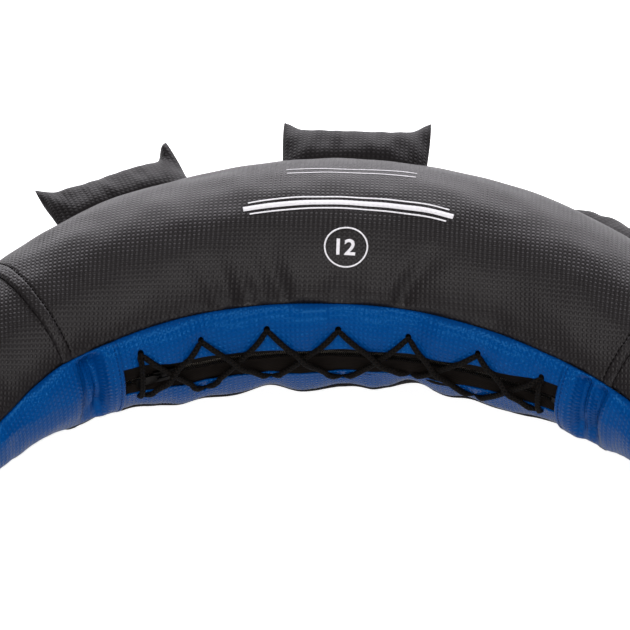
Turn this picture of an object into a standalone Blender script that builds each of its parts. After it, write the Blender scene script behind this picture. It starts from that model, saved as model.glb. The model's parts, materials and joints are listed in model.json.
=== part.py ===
"""A bulgarian bag: a crescent-shaped, sand-filled training bag lying on the floor.

The bag is drawn in the plane of its own centre line, with the arc's centre at the origin, +X to the right,
+Y towards the outside of the crescent's middle and +Z square to that plane. That plane is then tilted until
the belly and both end grips rest on the floor, and the whole bag is centred over the origin.
A point of the skin is named by its angle along the crescent and its turn round the tube: 0 degrees is the
outside of the crescent, 90 the top, 180 the inside, where the zip runs, and 270 the underside.
All sizes are in metres.
"""

import bmesh
import bpy
import math
from mathutils import Matrix, Vector

# The crescent
INNER_RADIUS = 0.300
HORN_RADIUS = 0.140
TUBE_WIDTH = 0.180
TUBE_HEIGHT = 0.145
BELLY_FLAT_DEPTH = 0.0025
LAP_ANGLE = math.radians(36.4)
BEND_ANGLE = math.radians(50.0)
NECK_ANGLE = math.radians(83.0)
NECK_LENGTH = 0.030
# How the tube tapers: angle as a share of NECK_ANGLE, then the shares of its width and height there
TAPER_SHARES = (
    (0.0, 1.0, 1.0),
    (0.145, 0.970, 0.966),
    (0.290, 0.893, 0.878),
    (0.434, 0.757, 0.725),
    (0.578, 0.570, 0.545),
    (0.723, 0.440, 0.450),
    (0.867, 0.365, 0.405),
)

# Cloth, and the gaps between sewn pieces
SKIN = 0.0015
CLEAR = 0.0003
SEAM_GAP = 0.0009
SEAM_TURN = math.radians(146.5)
LAP_OVERLAP = 0.012
LAP_CLEAR = 0.0005

# The laced zip on the inside of the crescent
ZIP_OPENING = 0.022
TAPE_DEPTH = 0.0051
TAPE_FLAT_SHARE = 0.6
TAPE_EDGE_GAP = 0.0012
TAPE_THICKNESS = 0.0010
TAPE_TUCK = 0.004
COIL_GAP = 0.0012
COIL_HEIGHT = 0.0020
COIL_DEPTH = 0.0024
COIL_END_MARGIN = 0.006
STOP_LENGTH = 0.004
BAND_ANGLE = math.radians(30.6)
BAND_WIDTH = 0.022
SLIDER_ANGLE = math.radians(-23.5)
SLIDER_LENGTH = 0.016
SLIDER_WIDTH = 0.0094
SLIDER_PLATE = 0.0014
SLIDER_POST = 0.0006
SLIDER_POST_LENGTH = 0.0035
SLIDER_FLANGE = 0.0014
BAIL_THICKNESS = 0.0010
PULL_LENGTH = 0.018
PULL_WIDTH = 0.0070
PULL_NECK = 0.0044
PULL_WINDOW = 0.0024
PULL_THICKNESS = 0.0008

# The lace, and the two punched holes that it passes through at each place
CORD_DIAMETER = 0.0038
LACE_GAP = 0.0009
LACE_HOLE = 0.0049
LACE_HOLE_SPACING = 0.0062
LACE_ANGLES = tuple(math.radians(a) for a in (-26.6, -18.3, -9.6, -0.2, 8.9, 18.1, 27.0))
# Heights of the holes over and under the zip, as shares of half the tube's height
UPPER_HOLE_SHARES = (0.440, 0.415, 0.385, 0.345, 0.325, 0.330, 0.300)
LOWER_HOLE_SHARES = (0.250, 0.320, 0.290, 0.320, 0.260, 0.310, 0.250)

# The three stuffed grips sewn into the outer seam
GRIP_ANGLES = tuple(math.radians(a) for a in (-20.2, 0.0, 24.0))
GRIP_REST_PITCHES = tuple(math.radians(a) for a in (-18.0, 1.0, -40.0))
GRIP_WIDTH = 0.106
GRIP_LENGTH = 0.056
GRIP_THICKNESS = 0.033
GRIP_EAR = 0.007
GRIP_DRAW_IN = 0.003
GRIP_HEM = 0.0010
GRIP_TAB_LENGTH = 0.005
GRIP_TAB_THICKNESS = 0.0016
GRIP_HINGE_GAP = 0.0006

# The end handles
HANDLE_RADIUS = 0.0240
HANDLE_LENGTH = 0.125
HANDLE_FOAM = 0.0070
HANDLE_TUCK_GAP = 0.002
NECK_CLEAR = 0.0006
CAP_THICKNESS = 0.0030
CAP_RIM_STEP = 0.0010
CAP_SPIGOT = 0.012
CORE_REACH = 0.010
STRAP_WIDTH = 0.022
STRAP_THICKNESS = 0.0018
STRAP_SETBACK = 0.004

# The filling
ZIP_ROOM = 0.0110
ZIP_ROOM_TURN = math.radians(62.0)
SACK_END_ANGLE = math.radians(33.0)
WADDING_ANGLE = math.radians(62.0)
FILLING_GAP = 0.0005
FILLING_SLACK = 0.0013

# How finely the curves are cut
PANEL_STEPS = 22
HORN_STEPS = 11
TURN_STEPS = 10
TAPE_STEPS = 26
ROUND_STEPS = 24
SACK_SIDES = 18
HOLE_SIDES = 10
CUT_OVERRUN = 0.004


for old in list(bpy.data.objects):
    bpy.data.objects.remove(old, do_unlink=True)
scene = bpy.context.scene
PARTS = bpy.data.collections.new("bulgarian_bag")
scene.collection.children.link(PARTS)
CUTTERS = bpy.data.collections.new("cutters")
scene.collection.children.link(CUTTERS)
BAG = bpy.data.objects.new("bag_origin", None)
PARTS.objects.link(BAG)


# Shape of the crescent

UNDER = SKIN + LAP_CLEAR
NECK_HALF = HANDLE_RADIUS + NECK_CLEAR + SKIN + UNDER


def taper(angle):
    """Half width and half height of the tube at an angle along the crescent."""
    rows = TAPER_SHARES + ((1.0, 2 * NECK_HALF / TUBE_WIDTH, 2 * NECK_HALF / TUBE_HEIGHT),)
    at = min(abs(angle) / NECK_ANGLE, 1.0)
    k = max(i for i in range(len(rows) - 1) if rows[i][0] <= at)
    span = rows[k + 1][0] - rows[k][0]
    t = (at - rows[k][0]) / span
    halves = []
    for column, full in ((1, TUBE_WIDTH / 2), (2, TUBE_HEIGHT / 2)):
        slopes = []
        for i in (k, k + 1):
            if i in (0, len(rows) - 1):
                slopes.append(0.0)
            else:
                rise = rows[i + 1][column] - rows[i - 1][column]
                slopes.append(rise / (rows[i + 1][0] - rows[i - 1][0]))
        share = (2 * t**3 - 3 * t**2 + 1) * rows[k][column] + (3 * t**2 - 2 * t**3) * rows[k + 1][column]
        share += span * ((t**3 - 2 * t**2 + t) * slopes[0] + (t**3 - t**2) * slopes[1])
        halves.append(share * full)
    return halves


def outward(angle):
    """Direction in the bag's plane from the crescent's centre."""
    return Vector((math.sin(angle), math.cos(angle), 0.0))


def along(angle):
    """Direction in the bag's plane along the crescent, towards its nearer end."""
    side = 1.0 if angle >= 0 else -1.0
    return side * Vector((math.cos(angle), -math.sin(angle), 0.0))


def arc_centre(angle):
    if abs(angle) <= BEND_ANGLE:
        return Vector((0.0, 0.0, 0.0)), INNER_RADIUS
    return outward(math.copysign(BEND_ANGLE, angle)) * (INNER_RADIUS - HORN_RADIUS), HORN_RADIUS


def flat_point(angle, turn, inset=0.0, beyond=0.0):
    """A point of the skin, or inset below it, in the bag's own plane. Beyond runs straight on from the neck."""
    centre, inner = arc_centre(angle)
    half_width, half_height = taper(angle)
    normal = Vector((math.cos(turn) / half_width, math.sin(turn) / half_height)).normalized()
    reach = inner + half_width + half_width * math.cos(turn) - inset * normal.x
    height = half_height * math.sin(turn) - inset * normal.y
    point = centre + outward(angle) * reach + along(angle) * beyond
    return point + Vector((0.0, 0.0, height))


def neck_middle(angle):
    centre, inner = arc_centre(angle)
    return centre + outward(angle) * (inner + taper(angle)[0])


def resting_height(tilt):
    """Height that puts the belly on the floor, BELLY_FLAT_DEPTH flattened, when the bag's plane is tilted."""
    middle = (INNER_RADIUS + TUBE_WIDTH / 2) * math.sin(tilt)
    drop = math.hypot(TUBE_WIDTH / 2 * math.sin(tilt), TUBE_HEIGHT / 2 * math.cos(tilt))
    return drop - middle - BELLY_FLAT_DEPTH


def resting_tilt():
    """Tilt at which the far end of each handle touches the floor too, found by halving."""
    end = neck_middle(NECK_ANGLE) + along(NECK_ANGLE) * (HANDLE_TUCK_GAP + HANDLE_LENGTH)
    low, high = 0.0, math.radians(30.0)
    for _ in range(60):
        tilt = (low + high) / 2
        clear = end.y * math.sin(tilt) - HANDLE_RADIUS * math.cos(tilt) + resting_height(tilt)
        if clear > 0:
            low = tilt
        else:
            high = tilt
    return tilt


TILT = resting_tilt()
WORLD = Matrix.Translation((0.0, 0.0, resting_height(TILT))) @ Matrix.Rotation(TILT, 4, "X")


def skin_point(angle, turn, inset=0.0, beyond=0.0):
    """The same point with the bag lying on the floor, which presses the belly flat."""
    point = WORLD @ flat_point(angle, turn, inset, beyond)
    point.z = max(point.z, inset)
    return point


def turn_step(angle, turn, length):
    """The turn that a length measured round the tube takes up."""
    half_width, half_height = taper(angle)
    return length / math.hypot(half_width * math.sin(turn), half_height * math.cos(turn))


def inner_turn(angle, height):
    """The turn of a point on the inside of the crescent at a height over the zip."""
    return math.pi - math.asin(height / taper(angle)[1])


def spaced(start, end, steps):
    return [start + (end - start) * i / steps for i in range(steps + 1)]


# Building tools


def material(name, colour, roughness, metallic=0.0):
    made = bpy.data.materials.new(name)
    made.use_nodes = True
    shader = made.node_tree.nodes["Principled BSDF"]
    shader.inputs["Base Color"].default_value = (*colour, 1.0)
    shader.inputs["Roughness"].default_value = roughness
    shader.inputs["Metallic"].default_value = metallic
    return made


BLACK = (0.018, 0.017, 0.018)
BLUE = (0.004, 0.085, 0.330)
CORD_BLACK = (0.010, 0.010, 0.010)
WEBBING = (0.012, 0.012, 0.013)
FILLING = (0.60, 0.57, 0.50)
STEEL = (0.45, 0.42, 0.38)


def finish_object(obj, colour, roughness, metallic=0.0):
    obj.data.materials.clear()
    obj.data.materials.append(material(obj.name, colour, roughness, metallic))
    obj.parent = BAG
    if obj.type == "MESH":
        obj.data.shade_smooth()
        obj.data.set_sharp_from_angle(angle=math.radians(35.0))
    return obj


def mesh_object(name, points, faces, collection=PARTS):
    mesh = bpy.data.meshes.new(name)
    mesh.from_pydata([tuple(p) for p in points], [], faces)
    obj = bpy.data.objects.new(name, mesh)
    collection.objects.link(obj)
    return obj


def sheet(name, stations, columns, thickness, colour, roughness=0.45):
    """A sewn panel: an open loft over the stations, given its thickness inwards."""
    rows = []
    for angle, beyond in stations:
        rows.append([skin_point(angle, turn, inset, beyond) for turn, inset in columns(angle)])
    wide = len(rows[0])
    faces = []
    for i in range(len(rows) - 1):
        for j in range(wide - 1):
            corner = i * wide + j
            faces.append((corner, corner + 1, corner + wide + 1, corner + wide))
    obj = mesh_object(name, [p for row in rows for p in row], faces)
    shell = obj.modifiers.new("Thickness", "SOLIDIFY")
    shell.thickness = thickness
    shell.offset = -1.0
    shell.use_even_offset = True
    return finish_object(obj, colour, roughness)


def filling(name, stations, inset_at, colour):
    """A stuffed sack: a closed loft whose rings follow the skin."""
    points, faces = [], []
    turns = [2 * math.pi * k / SACK_SIDES for k in range(SACK_SIDES)]
    for angle, beyond in stations:
        points += [skin_point(angle, turn, inset_at(turn), beyond) for turn in turns]
    for i in range(len(stations) - 1):
        for k in range(SACK_SIDES):
            a, b = i * SACK_SIDES + k, i * SACK_SIDES + (k + 1) % SACK_SIDES
            faces.append((a, b, b + SACK_SIDES, a + SACK_SIDES))
    last = (len(stations) - 1) * SACK_SIDES
    faces.append(tuple(reversed(range(SACK_SIDES))))
    faces.append(tuple(range(last, last + SACK_SIDES)))
    obj = mesh_object(name, points, faces)
    return finish_object(obj, colour, 0.9)


def centre_stations(limit, steps):
    return [(angle, 0.0) for angle in spaced(-limit, limit, steps)]


def horn_stations(start, end, side, steps):
    """Stations from near the middle to the neck, always in the order of growing angle."""
    rows = [(side * angle, 0.0) for angle in spaced(start, end, steps)]
    return rows if side > 0 else rows[::-1]


def with_neck(stations, side, lengths):
    rows = [(side * NECK_ANGLE, length) for length in lengths]
    return stations + rows if side > 0 else rows[::-1] + stations


# Panels of the skin

HALF_SEAM = SEAM_GAP / 2
SIDES = (("left", -1), ("right", 1))
OVERLAP_ANGLE = LAP_OVERLAP / (INNER_RADIUS + TUBE_WIDTH / 2)


def black_columns(top, inset):
    """From the outer seam to the blue panel, over the top or under the belly."""

    def columns(angle):
        start = turn_step(angle, 0.0, HALF_SEAM)
        end = SEAM_TURN - turn_step(angle, SEAM_TURN, HALF_SEAM)
        turns = spaced(start, end, TURN_STEPS)
        if not top:
            turns = [2 * math.pi - turn for turn in reversed(turns)]
        return [(turn, inset) for turn in turns]

    return columns


def blue_columns(inset, steps):
    def columns(angle):
        start = SEAM_TURN + turn_step(angle, SEAM_TURN, HALF_SEAM)
        return [(turn, inset) for turn in spaced(start, 2 * math.pi - start, steps)]

    return columns


def flap_columns(top):
    """From the black panel's seam to the flap's edge beside the zip."""

    def columns(angle):
        start = SEAM_TURN + turn_step(angle, SEAM_TURN, HALF_SEAM)
        turns = spaced(start, inner_turn(angle, ZIP_OPENING / 2), 3)
        if not top:
            turns = [2 * math.pi - turn for turn in reversed(turns)]
        return [(turn, 0.0) for turn in turns]

    return columns


MIDDLE = centre_stations(LAP_ANGLE, PANEL_STEPS)
panel_top = sheet("panel_top", MIDDLE, black_columns(True, 0.0), SKIN, BLACK)
panel_underside = sheet("panel_underside", MIDDLE, black_columns(False, 0.0), SKIN, BLACK)
for name, side in SIDES:
    rows = horn_stations(LAP_ANGLE - OVERLAP_ANGLE, NECK_ANGLE, side, HORN_STEPS)
    rows = with_neck(rows, side, (NECK_LENGTH / 2, NECK_LENGTH))
    sheet("horn_top_" + name, rows, black_columns(True, UNDER), SKIN, BLACK)
    sheet("horn_underside_" + name, rows, black_columns(False, UNDER), SKIN, BLACK)
    first = [(side * (BAND_ANGLE + CLEAR / INNER_RADIUS), 0.0)]
    rows = first + rows if side > 0 else rows + first
    sheet("horn_inside_" + name, rows, blue_columns(UNDER, 4), SKIN, BLUE)
    half_band = BAND_WIDTH / 2 / INNER_RADIUS
    rows = horn_stations(BAND_ANGLE - half_band, BAND_ANGLE + half_band, side, 2)
    sheet("zip_band_" + name, rows, blue_columns(-UNDER, 8), SKIN, BLUE)


# The two flaps that the lace draws together


def lace_place(k, top, step=0.0):
    """Angle and turn of a lace hole, moved a step along the zip."""
    angle = LACE_ANGLES[k] + step / INNER_RADIUS
    share = UPPER_HOLE_SHARES[k] if top else -LOWER_HOLE_SHARES[k]
    return angle, math.pi - math.asin(share * TUBE_HEIGHT / 2 / taper(LACE_ANGLES[k])[1])


def surface_frame(angle, turn):
    """Frame on the skin: X along the crescent, Z out of the skin."""
    origin = flat_point(angle, turn)
    out = (flat_point(angle, turn, -SKIN) - origin).normalized()
    east = Vector((math.cos(angle), -math.sin(angle), 0.0))
    north = out.cross(east).normalized()
    east = north.cross(out)
    frame = Matrix((east, north, out)).transposed().to_4x4()
    frame.translation = origin
    return frame


def punch_lace_holes(flap, top):
    """Two round holes at each place, with a narrow bridge of cloth between them."""
    bm = bmesh.new()
    for k in range(len(LACE_ANGLES)):
        for step in (-LACE_HOLE_SPACING / 2, LACE_HOLE_SPACING / 2):
            frame = WORLD @ surface_frame(*lace_place(k, top, step))
            bmesh.ops.create_cone(
                bm,
                cap_ends=True,
                segments=HOLE_SIDES,
                radius1=LACE_HOLE / 2,
                radius2=LACE_HOLE / 2,
                depth=2 * CUT_OVERRUN,
                matrix=frame,
            )
    mesh = bpy.data.meshes.new(flap.name + "_holes")
    bm.to_mesh(mesh)
    bm.free()
    cutter = bpy.data.objects.new(flap.name + "_holes", mesh)
    CUTTERS.objects.link(cutter)
    cutter.parent = BAG
    cutter.hide_render = True
    cutter.display_type = "WIRE"
    cut = flap.modifiers.new("Lace holes", "BOOLEAN")
    cut.operation = "DIFFERENCE"
    cut.solver = "EXACT"
    cut.object = cutter


FLAP_ROWS = [(-BAND_ANGLE, 0.0)]
FLAP_ROWS += [row for row in MIDDLE if abs(row[0]) < BAND_ANGLE - CLEAR / INNER_RADIUS]
FLAP_ROWS += [(BAND_ANGLE, 0.0)]
for name, top in (("flap_upper", True), ("flap_lower", False)):
    flap = sheet(name, FLAP_ROWS, flap_columns(top), SKIN, BLUE)
    punch_lace_holes(flap, top)


# The zip


def tape_columns(top):
    """The tape lies deep beside the coil and rises to its seam under the flap."""

    def columns(angle):
        coil = COIL_GAP / 2 + COIL_HEIGHT + CLEAR
        edge = ZIP_OPENING / 2
        rows = (
            (coil, TAPE_DEPTH),
            (edge * TAPE_FLAT_SHARE, TAPE_DEPTH),
            (edge, SKIN + TAPE_EDGE_GAP),
            (edge + TAPE_TUCK, SKIN + CLEAR),
        )
        turns = [(inner_turn(angle, height), inset) for height, inset in rows]
        if top:
            return turns[::-1]
        return [(2 * math.pi - turn, inset) for turn, inset in turns]

    return columns


def coil_columns(top):
    def columns(angle):
        low, high = COIL_GAP / 2, COIL_GAP / 2 + COIL_HEIGHT
        rows = [(inner_turn(angle, height), COIL_TOP) for height in (high, low)]
        if top:
            return rows
        return [(2 * math.pi - turn, inset) for turn, inset in reversed(rows)]

    return columns


COIL_TOP = TAPE_DEPTH + TAPE_THICKNESS / 2 - COIL_DEPTH / 2
COIL_BOTTOM = COIL_TOP + COIL_DEPTH
COIL_ANGLE = BAND_ANGLE - (COIL_END_MARGIN + STOP_LENGTH) / INNER_RADIUS
STOP_ANGLES = (COIL_ANGLE + CLEAR / INNER_RADIUS, COIL_ANGLE + STOP_LENGTH / INNER_RADIUS)
TAPE_ROWS = centre_stations(BAND_ANGLE - CLEAR / INNER_RADIUS, TAPE_STEPS)
COIL_ROWS = centre_stations(COIL_ANGLE, TAPE_STEPS)
for name, top in (("upper", True), ("lower", False)):
    sheet("zip_tape_" + name, TAPE_ROWS, tape_columns(top), TAPE_THICKNESS, WEBBING, 0.85)
    sheet("zip_coil_" + name, COIL_ROWS, coil_columns(top), COIL_DEPTH, CORD_BLACK, 0.55)


def stop_columns(angle):
    half = COIL_GAP / 2 + COIL_HEIGHT
    top = inner_turn(angle, half)
    return [(top, COIL_TOP), (2 * math.pi - top, COIL_TOP)]


for name, side in SIDES:
    rows = horn_stations(STOP_ANGLES[0], STOP_ANGLES[1], side, 1)
    sheet("zip_stop_" + name, rows, stop_columns, COIL_DEPTH, STEEL, 0.35)


def zip_frame(angle):
    """Frame over the zip: X along it, Y up across it, Z out towards the crescent's centre."""
    frame = Matrix(
        (
            Vector((math.cos(angle), -math.sin(angle), 0.0)),
            Vector((0.0, 0.0, 1.0)),
            -outward(angle),
        )
    ).transposed().to_4x4()
    frame.translation = outward(angle) * INNER_RADIUS
    return frame


def boxes(name, blocks):
    """Blocks, each given by its low and high corner, fused into one piece."""
    pieces = []
    for n, (low, high) in enumerate(blocks):
        bm = bmesh.new()
        bmesh.ops.create_cube(bm, size=1.0)
        low, high = Vector(low), Vector(high)
        bmesh.ops.scale(bm, vec=high - low, verts=bm.verts)
        bmesh.ops.translate(bm, vec=(high + low) / 2, verts=bm.verts)
        mesh = bpy.data.meshes.new(name if n == 0 else name + "_block")
        bm.to_mesh(mesh)
        bm.free()
        pieces.append(bpy.data.objects.new(mesh.name, mesh))
        (PARTS if n == 0 else CUTTERS).objects.link(pieces[-1])
    body = pieces[0]
    for block in pieces[1:]:
        block.hide_render = True
        block.display_type = "WIRE"
        join = body.modifiers.new("Join", "BOOLEAN")
        join.operation = "UNION"
        join.solver = "EXACT"
        join.object = block
    bpy.context.view_layer.update()
    evaluated = body.evaluated_get(bpy.context.evaluated_depsgraph_get())
    mesh = bpy.data.meshes.new_from_object(evaluated)
    for block in pieces:
        bpy.data.objects.remove(block, do_unlink=True)
    made = bpy.data.objects.new(name, mesh)
    PARTS.objects.link(made)
    return made


# The slider's plates lie over and under the coil, joined by a thin post that runs between its two rows
HALF_SLIDER = SLIDER_LENGTH / 2
PLATE_OVER = -(COIL_TOP - CLEAR)
PLATE_UNDER = -(COIL_BOTTOM + CLEAR)
PLATE_FACE = PLATE_OVER + SLIDER_PLATE
FLANGE_OUT = SLIDER_WIDTH / 2
FLANGE_IN = FLANGE_OUT - SLIDER_FLANGE
TAPE_OVER = -(TAPE_DEPTH - CLEAR)
TAPE_UNDER = -(TAPE_DEPTH + TAPE_THICKNESS + CLEAR)
POST_END = -HALF_SLIDER + SLIDER_POST_LENGTH
BAIL_HALF = BAIL_THICKNESS / 2
BAIL_FOOT = HALF_SLIDER / 2
BAIL_UNDER = PLATE_FACE + PULL_THICKNESS + 2 * CLEAR
slider_blocks = [
    ((-HALF_SLIDER, -FLANGE_OUT, PLATE_OVER), (HALF_SLIDER, FLANGE_OUT, PLATE_FACE)),
    ((-HALF_SLIDER, -FLANGE_OUT, PLATE_UNDER - SLIDER_PLATE), (HALF_SLIDER, FLANGE_OUT, PLATE_UNDER)),
    ((-HALF_SLIDER, -SLIDER_POST / 2, PLATE_UNDER - CLEAR), (POST_END, SLIDER_POST / 2, PLATE_OVER + CLEAR)),
    ((-BAIL_FOOT, -BAIL_HALF, BAIL_UNDER), (BAIL_FOOT, BAIL_HALF, BAIL_UNDER + BAIL_THICKNESS)),
]
for low, high in ((-FLANGE_OUT, -FLANGE_IN), (FLANGE_IN, FLANGE_OUT)):
    slider_blocks.append(((-HALF_SLIDER, low, TAPE_OVER), (HALF_SLIDER, high, PLATE_OVER + CLEAR)))
    slider_blocks.append(((-HALF_SLIDER, low, PLATE_UNDER - CLEAR), (HALF_SLIDER, high, TAPE_UNDER)))
for foot in (-BAIL_FOOT, BAIL_FOOT):
    low = (foot - BAIL_HALF, -BAIL_HALF, PLATE_FACE - CLEAR)
    slider_blocks.append((low, (foot + BAIL_HALF, BAIL_HALF, BAIL_UNDER + BAIL_HALF)))
slider = finish_object(boxes("zip_slider", slider_blocks), STEEL, 0.35, 0.9)
zip_axis = bpy.data.objects.new("zip_axis", None)
PARTS.objects.link(zip_axis)
zip_axis.parent = BAG
zip_axis.matrix_local = WORLD
slider.parent = zip_axis
slider.matrix_local = zip_frame(SLIDER_ANGLE)


def rounded_outline(corners, radius, steps=3):
    """Corner points of a flat outline, each cut to a small arc."""
    points = []
    for n, corner in enumerate(corners):
        corner = Vector(corner)
        before = (Vector(corners[n - 1]) - corner).normalized()
        after = (Vector(corners[(n + 1) % len(corners)]) - corner).normalized()
        for k in range(steps + 1):
            t = k / steps
            points.append(corner + radius * ((1 - t) ** 2 * before + t**2 * after))
    return points


def flat_plate(name, outlines, thickness):
    """A plate in the XY plane with windows, from a filled 2D curve."""
    curve = bpy.data.curves.new(name, "CURVE")
    curve.dimensions = "2D"
    curve.fill_mode = "BOTH"
    curve.extrude = thickness / 2
    for outline in outlines:
        spline = curve.splines.new("POLY")
        spline.points.add(len(outline) - 1)
        for point, place in zip(spline.points, outline):
            point.co = (place[0], place[1], 0.0, 1.0)
        spline.use_cyclic_u = True
    guide = bpy.data.objects.new(name, curve)
    PARTS.objects.link(guide)
    bpy.context.view_layer.update()
    mesh = bpy.data.meshes.new_from_object(guide.evaluated_get(bpy.context.evaluated_depsgraph_get()))
    bpy.data.objects.remove(guide, do_unlink=True)
    bm = bmesh.new()
    bm.from_mesh(mesh)
    bmesh.ops.remove_doubles(bm, verts=bm.verts, dist=CLEAR / 10)
    bm.to_mesh(mesh)
    bm.free()
    made = bpy.data.objects.new(name, mesh)
    PARTS.objects.link(made)
    return made


# The pull turns about its top bar, which is held under the bail, and points to the left
BAR_HALF = PULL_THICKNESS / 2
PULL_X = -BAIL_FOOT + BAIL_HALF + CLEAR + BAR_HALF
WINDOW_START = -BAR_HALF
WINDOW_END = WINDOW_START - 2 * CLEAR - BAIL_THICKNESS - PULL_THICKNESS
window = [
    (WINDOW_START, -PULL_WINDOW / 2),
    (WINDOW_START, PULL_WINDOW / 2),
    (WINDOW_END, PULL_WINDOW / 2),
    (WINDOW_END, -PULL_WINDOW / 2),
]
tab = [
    (BAR_HALF, -PULL_NECK / 2),
    (BAR_HALF, PULL_NECK / 2),
    (WINDOW_END, PULL_NECK / 2),
    (2 * WINDOW_END, PULL_WIDTH / 2),
    (-PULL_LENGTH, PULL_WIDTH / 2),
    (-PULL_LENGTH, -PULL_WIDTH / 2),
    (2 * WINDOW_END, -PULL_WIDTH / 2),
    (WINDOW_END, -PULL_NECK / 2),
]
pull = flat_plate("zip_pull", [rounded_outline(tab, BAR_HALF), window], PULL_THICKNESS)
finish_object(pull, STEEL, 0.35, 0.9)
pull.parent = slider
pull.location = (PULL_X, 0.0, PLATE_FACE + CLEAR + BAR_HALF)


# The lace: one cord, which crosses over the zip and passes under the bridge between each pair of holes

CORD_RADIUS = CORD_DIAMETER / 2
LOW_LIFT = CORD_RADIUS + LACE_GAP
HIGH_LIFT = LOW_LIFT + CORD_DIAMETER + CLEAR
DIP = SKIN + 3 * CLEAR + CORD_RADIUS
DIP_CORNER_SHARE = 0.6
LAST = len(LACE_ANGLES) - 1
# Shares of a strand's length: how far each side of a crossing the upper strand stays up and comes down
CROSSING_SHARES = (0.06, 0.24)
# Where the lower strand has points beside a crossing, and where any strand leaves its hole and lies flat
UNDER_SHARE = 0.08
STRAND_END_SHARES = (0.10, 0.27)
BAR_END_SHARES = (0.12, 0.88)
BAR_STEPS = 5


def lace_run():
    """Each visit as (place, upper row, hole that the cord comes in by, hole that it leaves by)."""
    run = [(LAST, True, None, -1)]
    top = False
    for k in range(LAST - 1, -1, -1):
        run.append((k, top, 1, -1))
        top = not top
    top = not run[-1][1]
    for k in range(0, LAST + 1):
        run.append((k, top, -1, 1))
        top = not top
    run.append((LAST, True, 1, None))
    return run


def lace_hole(k, top, side):
    return lace_place(k, top, side * LACE_HOLE_SPACING / 2)


def lifted(angle, turn, lift):
    return WORLD @ flat_point(angle, turn, -lift)


def strand(start, end):
    """Points of the cord between two visits, over the outside of the flaps."""
    (k0, top0, _, out_side), (k1, top1, in_side, _) = start, end
    first, second = lace_hole(k0, top0, out_side), lace_hole(k1, top1, in_side)

    def at(share, lift):
        angle = first[0] + (second[0] - first[0]) * share
        turn = first[1] + (second[1] - first[1]) * share
        return lifted(angle, turn, lift)

    if k0 == k1:
        return [at(share, LOW_LIFT) for share in spaced(*BAR_END_SHARES, BAR_STEPS)]
    falling = top0 == (k0 < k1)
    crossing = abs(first[1] - math.pi) / abs(first[1] - second[1])
    over = falling != (min(k0, k1) == 0)
    near, far = CROSSING_SHARES
    leave, level = STRAND_END_SHARES
    if not over:
        shares = (leave, level, crossing - UNDER_SHARE, crossing + UNDER_SHARE, 1 - level, 1 - leave)
        return [at(share, LOW_LIFT) for share in shares]
    return [
        at(leave, LOW_LIFT),
        at(crossing - far, LOW_LIFT),
        at(crossing - near, HIGH_LIFT),
        at(crossing + near, HIGH_LIFT),
        at(crossing + far, LOW_LIFT),
        at(1 - leave, LOW_LIFT),
    ]


# Where the cord bends over a hole's rim, as shares of its radius: out along the strand, and up from the skin
RIM_SHARES = ((1.35, 1.40), (0.35, 0.80))


def rim(visit, side, towards):
    """Points where the cord leaves the surface and turns down into a hole, nearest the strand first."""
    frame = WORLD @ surface_frame(*lace_hole(visit[0], visit[1], side))
    heading = frame.inverted() @ towards
    heading.z = 0.0
    heading.normalize()
    points = []
    for out, up in RIM_SHARES:
        points.append(frame @ (heading * out * CORD_RADIUS + Vector((0.0, 0.0, up * CORD_RADIUS))))
    return points


def dip(visit):
    """The turn inside the flap, from the hole that the cord comes in by to the other one."""
    k, top, in_side, _ = visit
    frame = WORLD @ surface_frame(*lace_place(k, top))
    half = LACE_HOLE_SPACING / 2
    points = []
    for x, z in ((1.0, -SKIN / 2), (DIP_CORNER_SHARE, -DIP), (-DIP_CORNER_SHARE, -DIP), (-1.0, -SKIN / 2)):
        points.append(frame @ Vector((in_side * x * half, 0.0, z)))
    return points


def end_in_hole(visit, side):
    frame = WORLD @ surface_frame(*lace_hole(visit[0], visit[1], side))
    return frame @ Vector((0.0, 0.0, -SKIN))


def lace_points():
    run = lace_run()
    points = [end_in_hole(run[0], run[0][3])]
    for n in range(len(run) - 1):
        between = strand(run[n], run[n + 1])
        points += rim(run[n], run[n][3], between[0])[::-1]
        points += between
        points += rim(run[n + 1], run[n + 1][2], between[-1])
        if run[n + 1][3] is not None:
            points += dip(run[n + 1])
    points.append(end_in_hole(run[-1], run[-1][2]))
    return points


def tube(name, points, radius, colour, roughness):
    curve = bpy.data.curves.new(name, "CURVE")
    curve.dimensions = "3D"
    curve.bevel_depth = radius
    curve.bevel_resolution = 2
    curve.use_fill_caps = True
    spline = curve.splines.new("POLY")
    spline.points.add(len(points) - 1)
    for point, place in zip(spline.points, points):
        point.co = (*place, 1.0)
    made = bpy.data.objects.new(name, curve)
    PARTS.objects.link(made)
    return finish_object(made, colour, roughness)


tube("lace", lace_points(), CORD_RADIUS, CORD_BLACK, 0.8)

# The knots that stop the cord's two ends behind the flap
KNOT_RADIUS = LACE_HOLE_SPACING / 2 - CLEAR / 2
for name, side in (("start", -1), ("end", 1)):
    frame = WORLD @ surface_frame(*lace_hole(LAST, True, side))
    place = frame @ Matrix.Translation((0.0, 0.0, -(SKIN + CLEAR + KNOT_RADIUS)))
    knot = bmesh.new()
    bmesh.ops.create_uvsphere(knot, u_segments=10, v_segments=6, radius=KNOT_RADIUS, matrix=place)
    knot_mesh = bpy.data.meshes.new("lace_knot_" + name)
    knot.to_mesh(knot_mesh)
    knot.free()
    knot_object = bpy.data.objects.new(knot_mesh.name, knot_mesh)
    PARTS.objects.link(knot_object)
    finish_object(knot_object, CORD_BLACK, 0.8)


# The filling: a sand sack in the middle and in each horn, and wadding down to the handle


def middle_inset(turn):
    """Just inside the skin, and further in behind the zip and the lace."""
    from_zip = abs(turn - math.pi)
    share = min(1.0, max(0.0, 2 * (ZIP_ROOM_TURN - from_zip) / ZIP_ROOM_TURN))
    plain = SKIN + FILLING_SLACK
    return plain + (ZIP_ROOM - plain) * share


def horn_inset(turn):
    return UNDER + SKIN + FILLING_SLACK


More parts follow.
